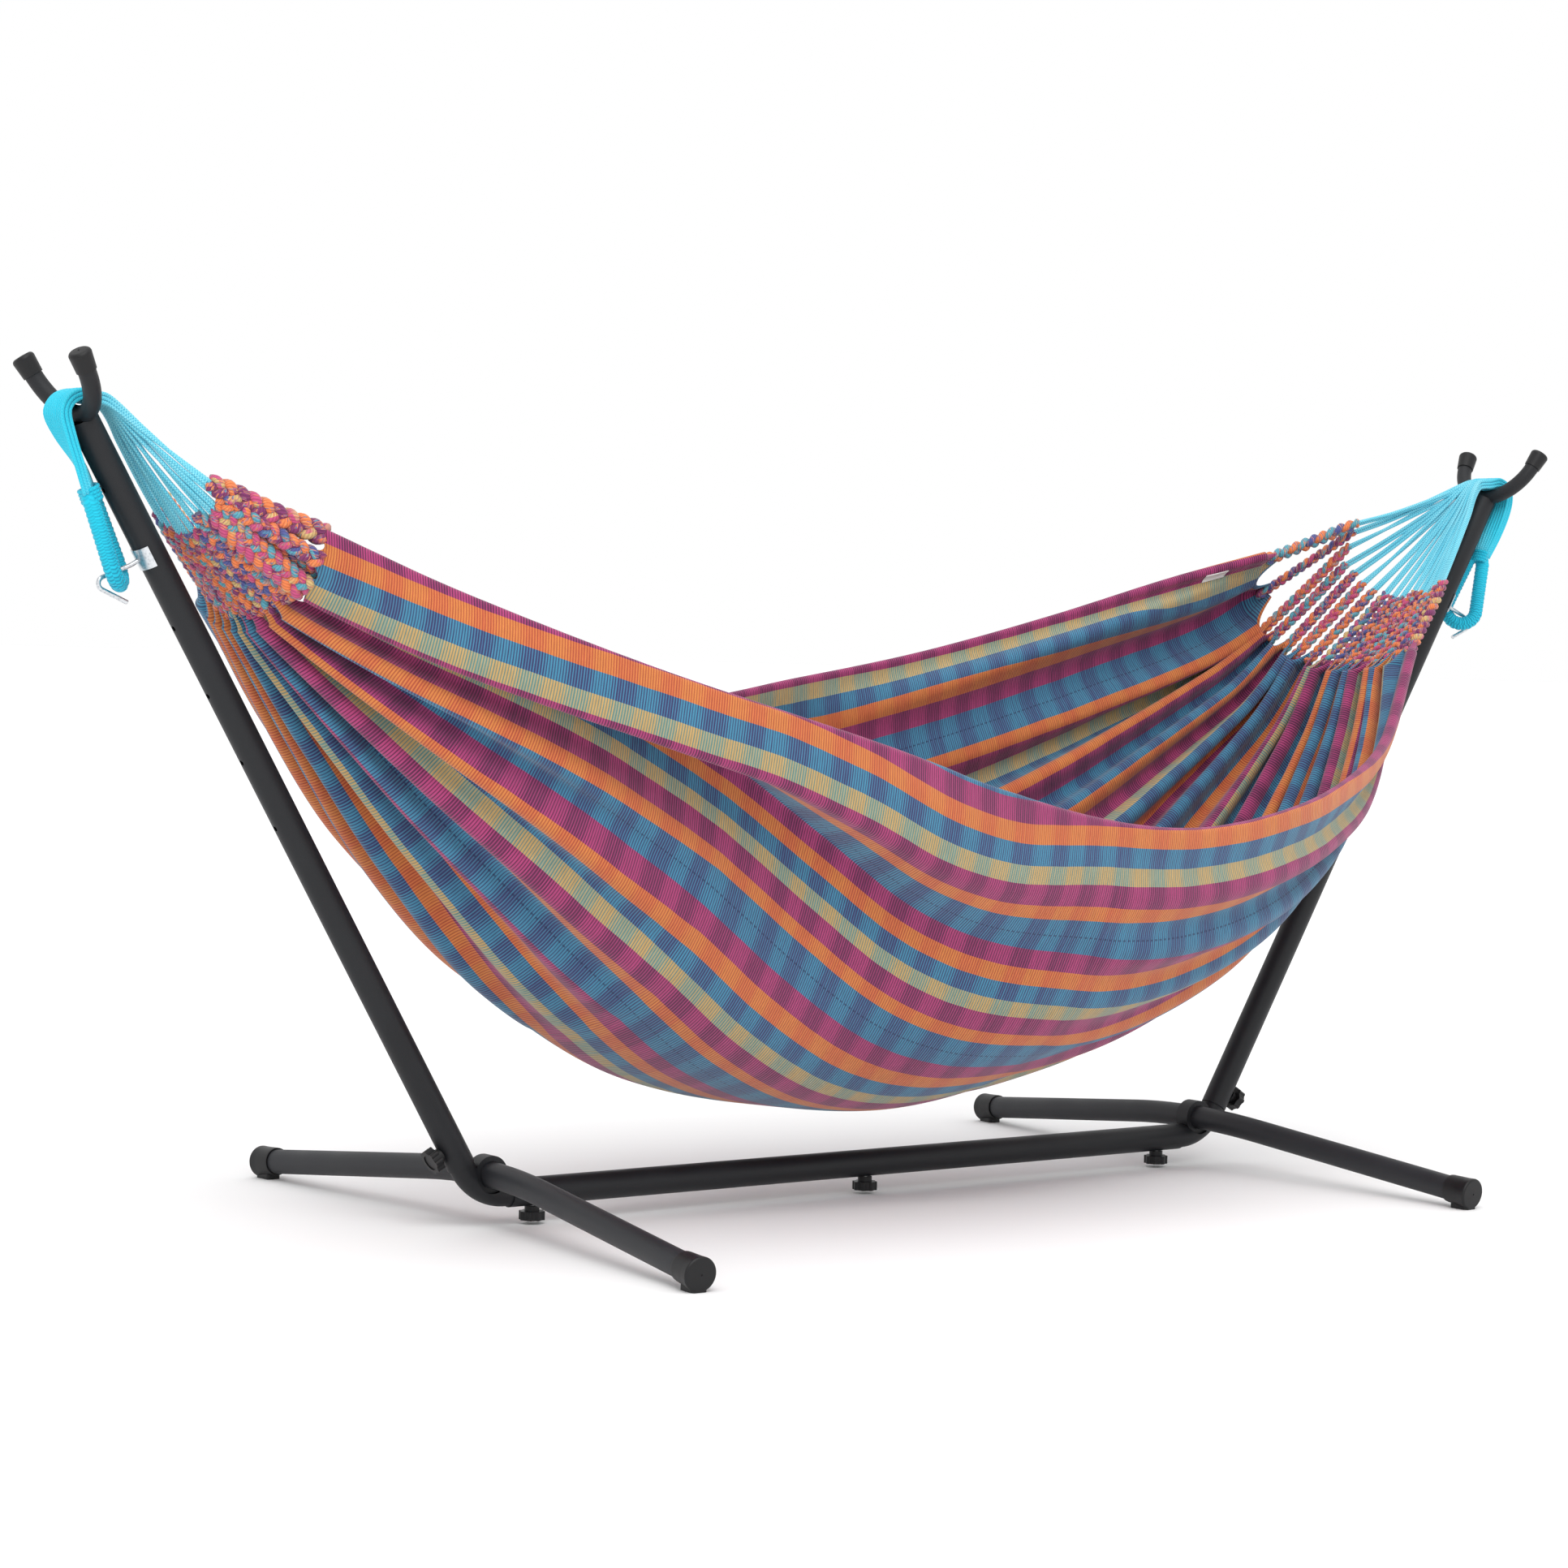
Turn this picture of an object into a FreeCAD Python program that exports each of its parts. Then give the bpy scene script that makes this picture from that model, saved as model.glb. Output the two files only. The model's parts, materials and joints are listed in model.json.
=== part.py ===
"""Hammock on a steel stand: every separate piece as its own solid, in millimetres.

Frame: origin on the floor at the middle of the stand, +X along the beam to the right end,
-Y to the front, +Z up. The two ends of the stand are mirror images in X.
The stand is 42 mm round tube that sleeves over 38 mm bent elbows. Each upright carries a
welded two-pronged fork. The hammock's cords pass over the fork and down to a hook.
"""

import FreeCAD
import Part

import math
import os

V = FreeCAD.Vector

# ---- driving dimensions -------------------------------------------------------------------

TUBE_R = 21.0            # uprights and beam, outside
TUBE_WALL = 1.5
ELBOW_R = 19.0           # elbows, beam spigot and foot bars, outside
ELBOW_WALL = 2.0
BEAM_Z = 48.0            # beam axis above the floor
CORNER_X = 718.0         # where the beam axis meets an upright axis
UPRIGHT_ANGLE = 59.36    # upright against the floor, degrees
BEND_R = 85.0            # elbow centreline
SEAM_UP = 54.0           # upright's lower end, from the corner
SEAM_BEAM = 54.0         # beam's outer end, from the corner
INSERT = 105.0           # elbow length inside the upright and inside the beam
BEAM_SPLIT_X = 38.0      # where the two beam halves meet
SPIGOT_LENGTH = 115.0    # swaged end of the left half, inside the right half
SPIGOT_R = 19.2

FORK_TUBE_R = 12.5
FORK_WALL = 2.0
FORK_BEND_R = 81.0       # centreline of the fork's half circle
FORK_BASE = 1271.0       # fork's lowest centreline point, along the upright from the corner
FORK_SWEEP = 78.0        # degrees each side of the fork's base
FORK_TIP_RUN = 22.0      # straight run at each prong's tip
FORK_COPE = 5.5          # how far the fork's lowest line sinks into the upright's end
FORK_COPE_GAP = 0.05
CAP_GAP = 0.05

HOLE_COUNT = 6
HOLE_R = 4.0
HOLE_FIRST = 636.0       # lowest hook hole, along the upright from the corner
HOLE_PITCH = 106.3
HOOK_HOLE = 4            # which hole the hook sits in, counted from the lowest at 0

RING_R = 27.5
RING_BORE_R = 19.4
RING_LENGTH = 26.0
FOOT_OUT = 589.0         # cap face from the middle, in Y
FOOT_RISE = 78.0         # how far a leg's line moves outward and down over that length
FOOT_SLOPE_X = 0.595     # direction of that move: outward ...
FOOT_SLOPE_Z = -0.803    # ... and down
FOOT_APEX = (694.5, 87.0)   # where the two straight legs would meet: x, z
FOOT_BEND_HALF = 150.0   # half length of the gently curved middle, in Y
FOOT_WALL = 1.5

KNOB_R = 19.5
KNOB_LOBE_R = 4.2
KNOB_LOBES = 8
KNOB_THICK = 13.0
KNOB_NECK_R = 11.0
KNOB_NECK = 8.0
BOLT_R = 3.9             # M8 thread, as a plain shank
BOLT_HOLE_R = 4.4
NUT_R = 6.5
NUT_BORE_R = 4.0
NUT_LENGTH = 12.0
BEAM_KNOBS_X = (-621.0, 0.0, 617.0)
UPRIGHT_KNOB_AT = 86.0   # knob on an upright, along it from the corner

HOOK_ROD_R = 3.25
HOOK_BEND_R = 9.0
HOOK_PLATE_LONG = 30.0
HOOK_PLATE_ARC = 66.0    # degrees each side of the hole that the plate covers
HOOK_PLATE_THICK = 2.0

STRAP_LINE = [(1357.5, 1165.5), (1375.0, 1168.0), (1392.0, 1160.0), (1400.0, 1143.0), (1389.0, 1115.0)]
STRAP_THICK = 17.0       # the strap's centreline, x and z, runs over the fork and down outside
STRAP_WIDE = 62.0
SWING_Z = 1165.5         # the hammock swings about a line along X at this height
LOOP_R = 12.0            # half thickness of the wrapped loop
LOOP_BEND_R = 26.0
LOOP_TOP_R = 13.0
LOOP_SPREAD = {-1: FreeCAD.Vector(0.6, 0.8, 0), 1: FreeCAD.Vector(0.76, -0.65, 0)}

BED_THICK = 3.0
BRAID_THICK = 9.0
FAN_THICK = 5.0
FAN_END_R = 12.0
FAN_NECK = (1332.0, 1161.0)   # where the cords have come together: x, z
FAN_END_X = 1351.0
STATIONS = 17            # grid lines along the bed
ACROSS = 15              # grid lines across it

# The hammock's edges and its lowest line, each a smooth curve through a few points.
NEAR_RIM = [(-1077, -150, 994), (-950, -279, 917), (-709, -395, 819), (-356, -451, 717),
            (5, -461, 616), (253, -456, 587), (488, -431, 614), (710, -348, 663),
            (870, -262, 722), (1032, -160, 862)]
FAR_RIM = [(-1060, 180, 975), (-903, 250, 880), (-697, 310, 812), (-408, 359, 762),
           (-108, 378, 752), (137, 378, 791), (362, 340, 837), (600, 269, 905),
           (803, 186, 972), (930, 100, 1017)]
KEEL = [(-1100, 0, 866), (-1000, 8, 705), (-880, 14, 535), (-700, 14, 350),
        (-450, 12, 203), (-80, 2, 134), (250, 2, 186), (500, 8, 283), (700, 14, 415),
        (850, 18, 560), (960, 18, 700), (1030, 20, 822)]
# How far each side of the cross-section turns, in degrees: 90 ends it upright,
# and more curls its rim inwards. Each list runs from the left end to the right end.
NEAR_TURN = [105, 95, 92, 90, 80]
FAR_TURN = [105, 97, 95, 105, 150]
# The far wall is drawn tight towards the right end: from this place along the bed
# its long lines are nearly straight.
STRAIGHT_FROM = 0.55
STRAIGHT_SHARE = 0.85
# Where the braids meet the cords: near rim, lowest point, far rim.
CORD_LINE_LEFT = [(-1210, -80, 1060), (-1215, 0, 990), (-1205, 85, 1050)]
CORD_LINE_RIGHT = [(1168, -90, 985), (1160, 25, 962), (1098, 58, 1090)]

LABEL_U = (0.948, 0.964)      # the label's place along the bed ...
LABEL_V = (0.93, 0.985)       # ... and across it
LABEL_THICK = 0.8
LABEL_GAP = 1.2

# ---- directions ---------------------------------------------------------------------------

ANGLE = math.radians(UPRIGHT_ANGLE)
SIDES = {"left": -1, "right": 1}


def along_upright(side, distance, out=0.0, y=0.0):
    """A point beside an upright's axis; out is towards its outer, lower face."""
    x = CORNER_X + math.cos(ANGLE) * distance + math.sin(ANGLE) * out
    z = BEAM_Z + math.sin(ANGLE) * distance - math.cos(ANGLE) * out
    return V(side * x, y, z)


def upright_direction(side):
    return V(side * math.cos(ANGLE), 0, math.sin(ANGLE))


def outward(side):
    return V(side * math.sin(ANGLE), 0, -math.cos(ANGLE))


# ---- small builders -----------------------------------------------------------------------


def cylinder(start, direction, length, radius):
    return Part.makeCylinder(radius, length, start, direction)


def pipe(start, direction, length, radius, wall):
    outer = cylinder(start, direction, length, radius)
    return outer.cut(cylinder(start, direction, length, radius - wall))


def circle_at(point, direction, radius):
    return Part.Wire([Part.Circle(point, direction, radius).toShape()])


def sweep(path, start, direction, radius):
    """A round bar along a wire of lines and arcs."""
    return path.makePipeShell([circle_at(start, direction, radius)], True, False)


def swept_tube(path, start, direction, radius, wall):
    return sweep(path, start, direction, radius).cut(sweep(path, start, direction, radius - wall))


def arc_edge(centre, axis_a, axis_b, radius, start_deg, end_deg):
    """An arc from start to end, measured from axis_a towards axis_b."""
    points = []
    for share in (0.0, 0.5, 1.0):
        angle = math.radians(start_deg + (end_deg - start_deg) * share)
        points.append(centre + axis_a * (radius * math.cos(angle)) + axis_b * (radius * math.sin(angle)))
    return Part.Arc(*points).toShape(), points


def line_edge(a, b):
    return Part.LineSegment(a, b).toShape()


def export(shape, name):
    if shape.ShapeType == "Compound" and len(shape.Solids) == 1:
        shape = shape.Solids[0]
    shape.exportStep("parts/%s.step" % name)


# ---- smooth curves through points ---------------------------------------------------------


def curve_point(points, share):
    """A point on a smooth curve through the points; share is 0 to 1 of its chord length."""
    lengths = [0.0]
    for a, b in zip(points, points[1:]):
        lengths.append(lengths[-1] + math.dist(a, b))
    at = share * lengths[-1]
    k = 0
    while k < len(points) - 2 and at > lengths[k + 1]:
        k += 1
    span = lengths[k + 1] - lengths[k]
    t = (at - lengths[k]) / span
    h00 = 2 * t ** 3 - 3 * t ** 2 + 1
    h10 = t ** 3 - 2 * t ** 2 + t
    h01 = 3 * t ** 2 - 2 * t ** 3
    h11 = t ** 3 - t ** 2
    before, after = slope_at(points, lengths, k), slope_at(points, lengths, k + 1)
    return tuple(h00 * p + h10 * span * m + h01 * q + h11 * span * n
                 for p, q, m, n in zip(points[k], points[k + 1], before, after))


def slope_at(points, lengths, k):
    a, b = max(k - 1, 0), min(k + 1, len(points) - 1)
    return [(q - p) / (lengths[b] - lengths[a]) for p, q in zip(points[a], points[b])]


def list_value(values, share):
    """A value between evenly spaced list entries."""
    at = share * (len(values) - 1)
    k = min(int(at), len(values) - 2)
    t = at - k
    t = t * t * (3 - 2 * t)
    return values[k] * (1 - t) + values[k + 1] * t


def section_point(near, keel, far, near_turn, far_turn, v):
    """A point on a cross-section; v is -1 at the near rim, 0 at the keel, 1 at the far rim."""
    rim, turn = (near, near_turn) if v < 0 else (far, far_turn)
    t, phi = abs(v), math.radians(turn)
    sideways = math.sin(phi * t) / math.sin(phi) if turn < 170 else t
    upward = (1 - math.cos(phi * t)) / (1 - math.cos(phi))
    return V(keel[0] + (rim[0] - keel[0]) * t,
             keel[1] + (rim[1] - keel[1]) * sideways,
             keel[2] + (rim[2] - keel[2]) * upward)


def slack_point(u, v):
    """A point on the cloth before its far wall is drawn tight."""
    return section_point(curve_point(NEAR_RIM, u), curve_point(KEEL, u), curve_point(FAR_RIM, u),
                         list_value(NEAR_TURN, u), list_value(FAR_TURN, u), v)


def eased(amount):
    """0 to 1 with a soft start and a soft end."""
    amount = min(max(amount, 0.0), 1.0)
    return amount * amount * (3 - 2 * amount)


def bed_point(u, v):
    """A point on the cloth; u runs 0 to 1 from the left end to the right end."""
    point = slack_point(u, v)
    if u <= STRAIGHT_FROM or v <= 0.05:
        return point
    part = (u - STRAIGHT_FROM) / (1 - STRAIGHT_FROM)
    chord = slack_point(STRAIGHT_FROM, v) * (1 - part) + slack_point(1, v) * part
    weight = STRAIGHT_SHARE * eased((v - 0.05) / 0.35) * eased((1 - v) / 0.12)
    return point + (chord - point) * weight


def cord_line_point(side, v):
    near, keel, far = CORD_LINE_LEFT if side < 0 else CORD_LINE_RIGHT
    end = 0 if side < 0 else -1
    return section_point(near, keel, far, NEAR_TURN[end], FAR_TURN[end], v)


# ---- closed shells from grids -------------------------------------------------------------


def surface(grid):
    face = Part.BSplineSurface()
    face.interpolate(grid)
    return face.toShape()


def boundary(grid, which):
    """One edge line of a grid of points."""
    if which == "first":
        return grid[0]
    if which == "last":
        return grid[-1]
    return [row[0 if which == "left" else -1] for row in grid]


def shell_between(outer, inner):
    """The closed solid between two grids of the same size."""
    faces = [surface(outer), surface(inner)]
    edges = []
    for face in faces:
        edges.append({which: nearest_edge(face, boundary(outer if face is faces[0] else inner, which))
                      for which in ("first", "last", "left", "right")})
    for which in ("first", "last", "left", "right"):
        faces.append(Part.makeRuledSurface(edges[0][which], edges[1][which]))
    shell = Part.Shell([f for f in faces])
    shell.sewShape()
    solid = Part.Solid(shell)
    if solid.Volume < 0:
        solid.reverse()
    return solid


def nearest_edge(face, line):
    """The face's edge that runs through a boundary line's middle point."""
    middle = Part.Vertex(line[len(line) // 2])
    return min(face.Edges, key=lambda e: e.distToShape(middle)[0])


def thickened(grid, thickness):
    """Two grids, half the thickness either side; thickness is a number or a function of the row."""
    outer, inner = [], []
    rows, columns = len(grid), len(grid[0])
    for i in range(rows):
        out_row, in_row = [], []
        for j in range(columns):
            du = grid[min(i + 1, rows - 1)][j] - grid[max(i - 1, 0)][j]
            dv = grid[i][min(j + 1, columns - 1)] - grid[i][max(j - 1, 0)]
            normal = du.cross(dv)
            normal.normalize()
            out_row.append(grid[i][j] - normal * (thickness / 2))
            in_row.append(grid[i][j] + normal * (thickness / 2))
        outer.append(out_row)
        inner.append(in_row)
    return outer, inner


def across_values():
    return [-1 + 2 * j / (ACROSS - 1) for j in range(ACROSS)]


# ---- stand --------------------------------------------------------------------------------


def bolt_hole(start, direction, length):
    return cylinder(start, direction, length, BOLT_HOLE_R)


def beam_half(side):
    end_x = side * (CORNER_X - SEAM_BEAM)
    split = V(BEAM_SPLIT_X, 0, BEAM_Z)
    length = abs(end_x - BEAM_SPLIT_X)
    body = pipe(split, V(side, 0, 0), length, TUBE_R, TUBE_WALL)
    if side < 0:
        neck = 12.0
        spigot = pipe(split - V(neck, 0, 0), V(1, 0, 0), SPIGOT_LENGTH + neck, SPIGOT_R, TUBE_WALL)
        collar = pipe(split - V(neck, 0, 0), V(1, 0, 0), neck, TUBE_R - TUBE_WALL, TUBE_R - TUBE_WALL - SPIGOT_R)
        body = body.fuse(spigot).fuse(collar)
    for x in BEAM_KNOBS_X:
        body = body.cut(bolt_hole(V(x, 0, BEAM_Z - 2 * TUBE_R), V(0, 0, 1), 2 * TUBE_R))
    return body


def elbow(side):
    tangent = BEND_R * math.tan(ANGLE / 2)
    corner = V(side * CORNER_X, 0, BEAM_Z)
    inner_end = corner - V(side * (SEAM_BEAM + INSERT), 0, 0)
    bend_start = corner - V(side * tangent, 0, 0)
    bend_end = along_upright(side, tangent)
    outer_end = along_upright(side, SEAM_UP + INSERT)
    centre = bend_start + V(0, 0, BEND_R)
    bend, _ = arc_edge(centre, V(0, 0, -1), V(side, 0, 0), BEND_R, 0, UPRIGHT_ANGLE)
    path = Part.Wire([line_edge(inner_end, bend_start), bend, line_edge(bend_end, outer_end)])
    tube = swept_tube(path, inner_end, V(side, 0, 0), ELBOW_R, ELBOW_WALL)
    ring_space = cylinder(ring_centre(side) - V(0, RING_LENGTH, 0), V(0, 1, 0), 2 * RING_LENGTH, RING_R)
    tube = tube.cut(ring_space)
    for x in BEAM_KNOBS_X:
        tube = tube.cut(bolt_hole(V(x, 0, BEAM_Z - 2 * TUBE_R), V(0, 0, 1), 2 * TUBE_R))
    tube = tube.cut(bolt_hole(along_upright(side, UPRIGHT_KNOB_AT, TUBE_R), outward(side) * -1, TUBE_R))
    return tube


def foot_plane_point(side, y, drop):
    """A point in a foot bar's plane: drop is measured outward and down from its apex line."""
    return V(side * (FOOT_APEX[0] + FOOT_SLOPE_X * drop), y, FOOT_APEX[1] + FOOT_SLOPE_Z * drop)


def foot_slope():
    return math.atan2(FOOT_RISE, FOOT_OUT)


def foot_bend():
    """Radius of the foot bar's curved middle, and how far its middle lies from the apex."""
    radius = FOOT_BEND_HALF / math.sin(foot_slope())
    return radius, radius / math.cos(foot_slope()) - radius


def ring_centre(side):
    return foot_plane_point(side, 0, foot_bend()[1])


def foot_bar_path(side, end_y):
    """The wire of a foot bar from its front end to its back end."""
    slope = math.tan(foot_slope())
    middle = ring_centre(side)
    points = [foot_plane_point(side, y, abs(y) * slope) for y in (-end_y, -FOOT_BEND_HALF, FOOT_BEND_HALF, end_y)]
    bend = Part.Arc(points[1], middle, points[2]).toShape()
    wire = Part.Wire([line_edge(points[0], points[1]), bend, line_edge(points[2], points[3])])
    direction = points[1] - points[0]
    direction.normalize()
    return wire, points[0], direction


def foot_bar(side):
    path, start, direction = foot_bar_path(side, FOOT_OUT - 5)
    return swept_tube(path, start, direction, ELBOW_R, FOOT_WALL)


def ring(side):
    start = ring_centre(side) - V(0, RING_LENGTH / 2, 0)
    sleeve = cylinder(start, V(0, 1, 0), RING_LENGTH, RING_R)
    return sleeve.cut(cylinder(start, V(0, 1, 0), RING_LENGTH, RING_BORE_R))


def foot_cap(side, front):
    """A flared cap over the end of a foot bar, with a flat pad underneath."""
    slope = math.tan(foot_slope())
    end = foot_plane_point(side, front * FOOT_OUT, FOOT_RISE)
    inner = foot_plane_point(side, front * (FOOT_OUT - 42), (FOOT_OUT - 42) * slope)
    axis = end - inner
    axis.normalize()
    profile = [V(0, 0, 0), V(21.4, 0, 0), V(21.8, 0, 3), V(23.4, 0, 30), V(24.4, 0, 40)]
    rim = V(21.6, 0, 44.6)
    edges = [line_edge(a, b) for a, b in zip(profile, profile[1:])]
    edges.append(Part.Arc(profile[-1], V(23.6, 0, 43.4), rim).toShape())
    edges += [line_edge(rim, V(0, 0, 45.2)), line_edge(V(0, 0, 45.2), V(0, 0, 0))]
    body = Part.Face(Part.Wire(edges)).revolve(V(0, 0, 0), V(0, 0, 1), 360)
    body.Placement = FreeCAD.Placement(inner, FreeCAD.Rotation(V(0, 0, 1), axis))
    pad = Part.makeBox(24, 34, 20, V(-12, -34, 0))
    pad = pad.makeFillet(5, upright_edges(pad))
    pad.Placement = FreeCAD.Placement(
        V(end.x, end.y, 0), FreeCAD.Rotation(V(0, 1, 0), V(axis.x, axis.y, 0)))
    body = body.fuse(pad).removeSplitter()
    floor = Part.makeBox(200, 200, 60, V(end.x - 100, end.y - 100, -60))
    body = body.cut(floor)
    bore = cylinder(inner - axis * 5, axis, 5 + 38.5, ELBOW_R + CAP_GAP)
    dimple = cylinder(inner + axis * 44.4, axis, 2, 1.5)
    return body.cut(bore).cut(dimple)


def upright_edges(box):
    return [e for e in box.Edges if abs(e.tangentAt(e.FirstParameter).z) > 0.9]


def upright(side):
    length = FORK_BASE - FORK_TUBE_R + FORK_COPE - SEAM_UP
    tube = pipe(along_upright(side, SEAM_UP), upright_direction(side), length, TUBE_R, TUBE_WALL)
    tube = tube.cut(fork_bar(side, FORK_TUBE_R + FORK_COPE_GAP))
    for k in range(HOLE_COUNT):
        at = HOLE_FIRST + k * HOLE_PITCH
        tube = tube.cut(cylinder(along_upright(side, at, TUBE_R + 2), outward(side) * -1, TUBE_R, HOLE_R))
    tube = tube.cut(bolt_hole(along_upright(side, UPRIGHT_KNOB_AT, TUBE_R + 2), outward(side) * -1, TUBE_R))
    return max(tube.Solids, key=lambda s: s.Volume)


def fork_path(side):
    up = upright_direction(side)
    centre = along_upright(side, FORK_BASE + FORK_BEND_R)
    bend, points = arc_edge(centre, up * -1, V(0, 1, 0), FORK_BEND_R, -FORK_SWEEP, FORK_SWEEP)
    sweep_angle = math.radians(FORK_SWEEP)
    rise = up * (math.sin(sweep_angle) * FORK_TIP_RUN)
    spread = V(0, math.cos(sweep_angle) * FORK_TIP_RUN, 0)
    front_tip, back_tip = points[0] + rise - spread, points[2] + rise + spread
    wire = Part.Wire([line_edge(front_tip, points[0]), bend, line_edge(points[2], back_tip)])
    return wire, front_tip, points[0] - front_tip, back_tip, back_tip - points[2]


def fork_bar(side, radius):
    wire, start, direction, _, _ = fork_path(side)
    return sweep(wire, start, direction, radius)


def fork(side):
    return fork_bar(side, FORK_TUBE_R).cut(fork_bar(side, FORK_TUBE_R - FORK_WALL))


def fork_cap(side, front):
    """A slightly flared cap over a prong's tip, with a domed top and a small dimple."""
    _, front_tip, front_in, back_tip, back_out = fork_path(side)
    tip, axis = (front_tip, front_in * -1) if front < 0 else (back_tip, back_out)
    axis.normalize()
    edges = [line_edge(V(0, 0, -24), V(14.2, 0, -24)),
             line_edge(V(14.2, 0, -24), V(15.9, 0, -1)),
             Part.Arc(V(15.9, 0, -1), V(14.6, 0, 3.6), V(10.5, 0, 5.6)).toShape(),
             line_edge(V(10.5, 0, 5.6), V(0, 0, 6.2)),
             line_edge(V(0, 0, 6.2), V(0, 0, -24))]
    body = Part.Face(Part.Wire(edges)).revolve(V(0, 0, 0), V(0, 0, 1), 360)
    body = body.cut(cylinder(V(0, 0, -24), V(0, 0, 1), 24, FORK_TUBE_R + CAP_GAP))
    body = body.cut(cylinder(V(0, 0, 5.2), V(0, 0, 1), 2, 1.5))
    body.Placement = FreeCAD.Placement(tip, FreeCAD.Rotation(V(0, 0, 1), axis))
    return body


# ---- knobs, bolts and nuts ----------------------------------------------------------------


def knob_places():
    """Each knob's name, the point on the tube under it, its outward direction and the tube's own."""
    down, along = V(0, 0, -1), V(1, 0, 0)
    names = ("beam_left", "beam_middle", "beam_right")
    places = [(n, V(x, 0, BEAM_Z - TUBE_R), down, along) for n, x in zip(names, BEAM_KNOBS_X)]
    for name, side in SIDES.items():
        point = along_upright(side, UPRIGHT_KNOB_AT, TUBE_R)
        places.append(("upright_" + name, point, outward(side), upright_direction(side)))
    return places


def put(shape, point, direction):
    shape.Placement = FreeCAD.Placement(point, FreeCAD.Rotation(V(0, 0, 1), direction))
    return shape


def knob(point, direction):
    """A lobed hand knob: its neck stands on the tube and its face has a shallow recess."""
    gap = 0.3
    core = cylinder(V(0, 0, gap), V(0, 0, 1), KNOB_NECK - gap, KNOB_NECK_R)
    head = cylinder(V(0, 0, KNOB_NECK), V(0, 0, 1), KNOB_THICK, KNOB_R - KNOB_LOBE_R * 0.55)
    for k in range(KNOB_LOBES):
        angle = 2 * math.pi * k / KNOB_LOBES
        centre = V(math.cos(angle), math.sin(angle), 0) * (KNOB_R - KNOB_LOBE_R) + V(0, 0, KNOB_NECK)
        head = head.fuse(cylinder(centre, V(0, 0, 1), KNOB_THICK, KNOB_LOBE_R))
    body = core.fuse(head).removeSplitter()
    recess = cylinder(V(0, 0, KNOB_NECK + KNOB_THICK - 1.5), V(0, 0, 1), 2, KNOB_R * 0.62)
    body = body.cut(recess)
    body = body.cut(cylinder(V(0, 0, 0), V(0, 0, 1), KNOB_NECK + 8, BOLT_R))
    return put(body, point, direction)


def knob_bolt(point, direction):
    """The steel screw moulded into a knob; it ends inside the elbow or spigot."""
    inside = 15.0
    body = cylinder(V(0, 0, -inside), V(0, 0, 1), inside + KNOB_NECK + 8, BOLT_R)
    return put(body.makeChamfer(0.8, [body.Edges[0]]), point, direction)


def insert_nut(point, direction, bore_r, along):
    """A threaded insert fixed to the inside of the inner tube's wall."""
    body = cylinder(V(0, 0, -TUBE_R + bore_r - NUT_LENGTH), V(0, 0, 1), NUT_LENGTH, NUT_R)
    body = body.cut(cylinder(V(0, 0, -TUBE_R), V(0, 0, 1), TUBE_R + 5, NUT_BORE_R))
    body = put(body, point, direction)
    bore = cylinder(point - direction * TUBE_R - along * 30, along, 60, bore_r)
    return body.common(bore)


# ---- hooks --------------------------------------------------------------------------------


def hook_hole_at():
    return HOLE_FIRST + HOOK_HOLE * HOLE_PITCH


def hook_points(side):
    """The hook rod's corner points: inside the tube, its turn and its tip."""
    start = along_upright(side, hook_hole_at(), TUBE_R - 9)
    knee = along_upright(side, hook_hole_at(), TUBE_R + 14)
    turn = V(side * 1350.0, 0, 918.0)
    tip = V(side * 1293.0, 0, 893.0)
    return [start, knee, turn, tip]


def hook_rod(side):
    """A bent rod that opens downwards, so a loop that is pulled up stays on it."""
    points = hook_points(side)
    edges = filleted_edges(points, [30.0, HOOK_BEND_R])
    path = Part.Wire(edges)
    direction = points[1] - points[0]
    rod = sweep(path, points[0], direction, HOOK_ROD_R)
    head = cylinder(along_upright(side, hook_hole_at(), TUBE_R - 9), outward(side), 3, 3.7)
    return rod.fuse(head).removeSplitter()


def filleted_edges(points, radii):
    """Straight runs joined by tangent arcs at the inner points."""
    edges, start = [], points[0]
    for k, radius in enumerate(radii, start=1):
        before, after = points[k - 1] - points[k], points[k + 1] - points[k]
        before.normalize()
        after.normalize()
        half = before.getAngle(after) / 2
        reach = radius / math.tan(half)
        a, b = points[k] + before * reach, points[k] + after * reach
        bisector = before + after
        bisector.normalize()
        middle = points[k] + bisector * (radius / math.sin(half) - radius)
        edges.append(line_edge(start, a))
        edges.append(Part.Arc(a, middle, b).toShape())
        start = b
    edges.append(line_edge(start, points[-1]))
    return edges


def hook_plate(side):
    """A curved saddle plate that spreads the hook's pull over the upright's outer face."""
    low = along_upright(side, hook_hole_at() - HOOK_PLATE_LONG / 2)
    outer = TUBE_R + 0.1 + HOOK_PLATE_THICK
    shell = pipe(low, upright_direction(side), HOOK_PLATE_LONG, outer, HOOK_PLATE_THICK)
    half = math.radians(HOOK_PLATE_ARC)
    keep = Part.makeBox(40, 2 * outer, HOOK_PLATE_LONG, V(outer * math.cos(half), -outer, -HOOK_PLATE_LONG / 2))
    corner_edges = [e for e in keep.Edges if abs(e.tangentAt(e.FirstParameter).x) > 0.9]
    keep = keep.makeFillet(1.0, corner_edges)
    keep.Placement = FreeCAD.Placement(
        along_upright(side, hook_hole_at()),
        FreeCAD.Rotation(outward(side), V(0, 1, 0), upright_direction(side), "XZY"))
    plate = shell.common(keep)
    hole = cylinder(along_upright(side, hook_hole_at(), TUBE_R - 5), outward(side), 20, HOOK_ROD_R + 0.3)
    return plate.cut(hole)


# ---- hammock ------------------------------------------------------------------------------


def bed_faces():
    """The grids of the cloth's outer and inner faces."""
    grid = [[bed_point(i / (STATIONS - 1), v) for v in across_values()] for i in range(STATIONS)]
    return thickened(grid, BED_THICK)


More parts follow.
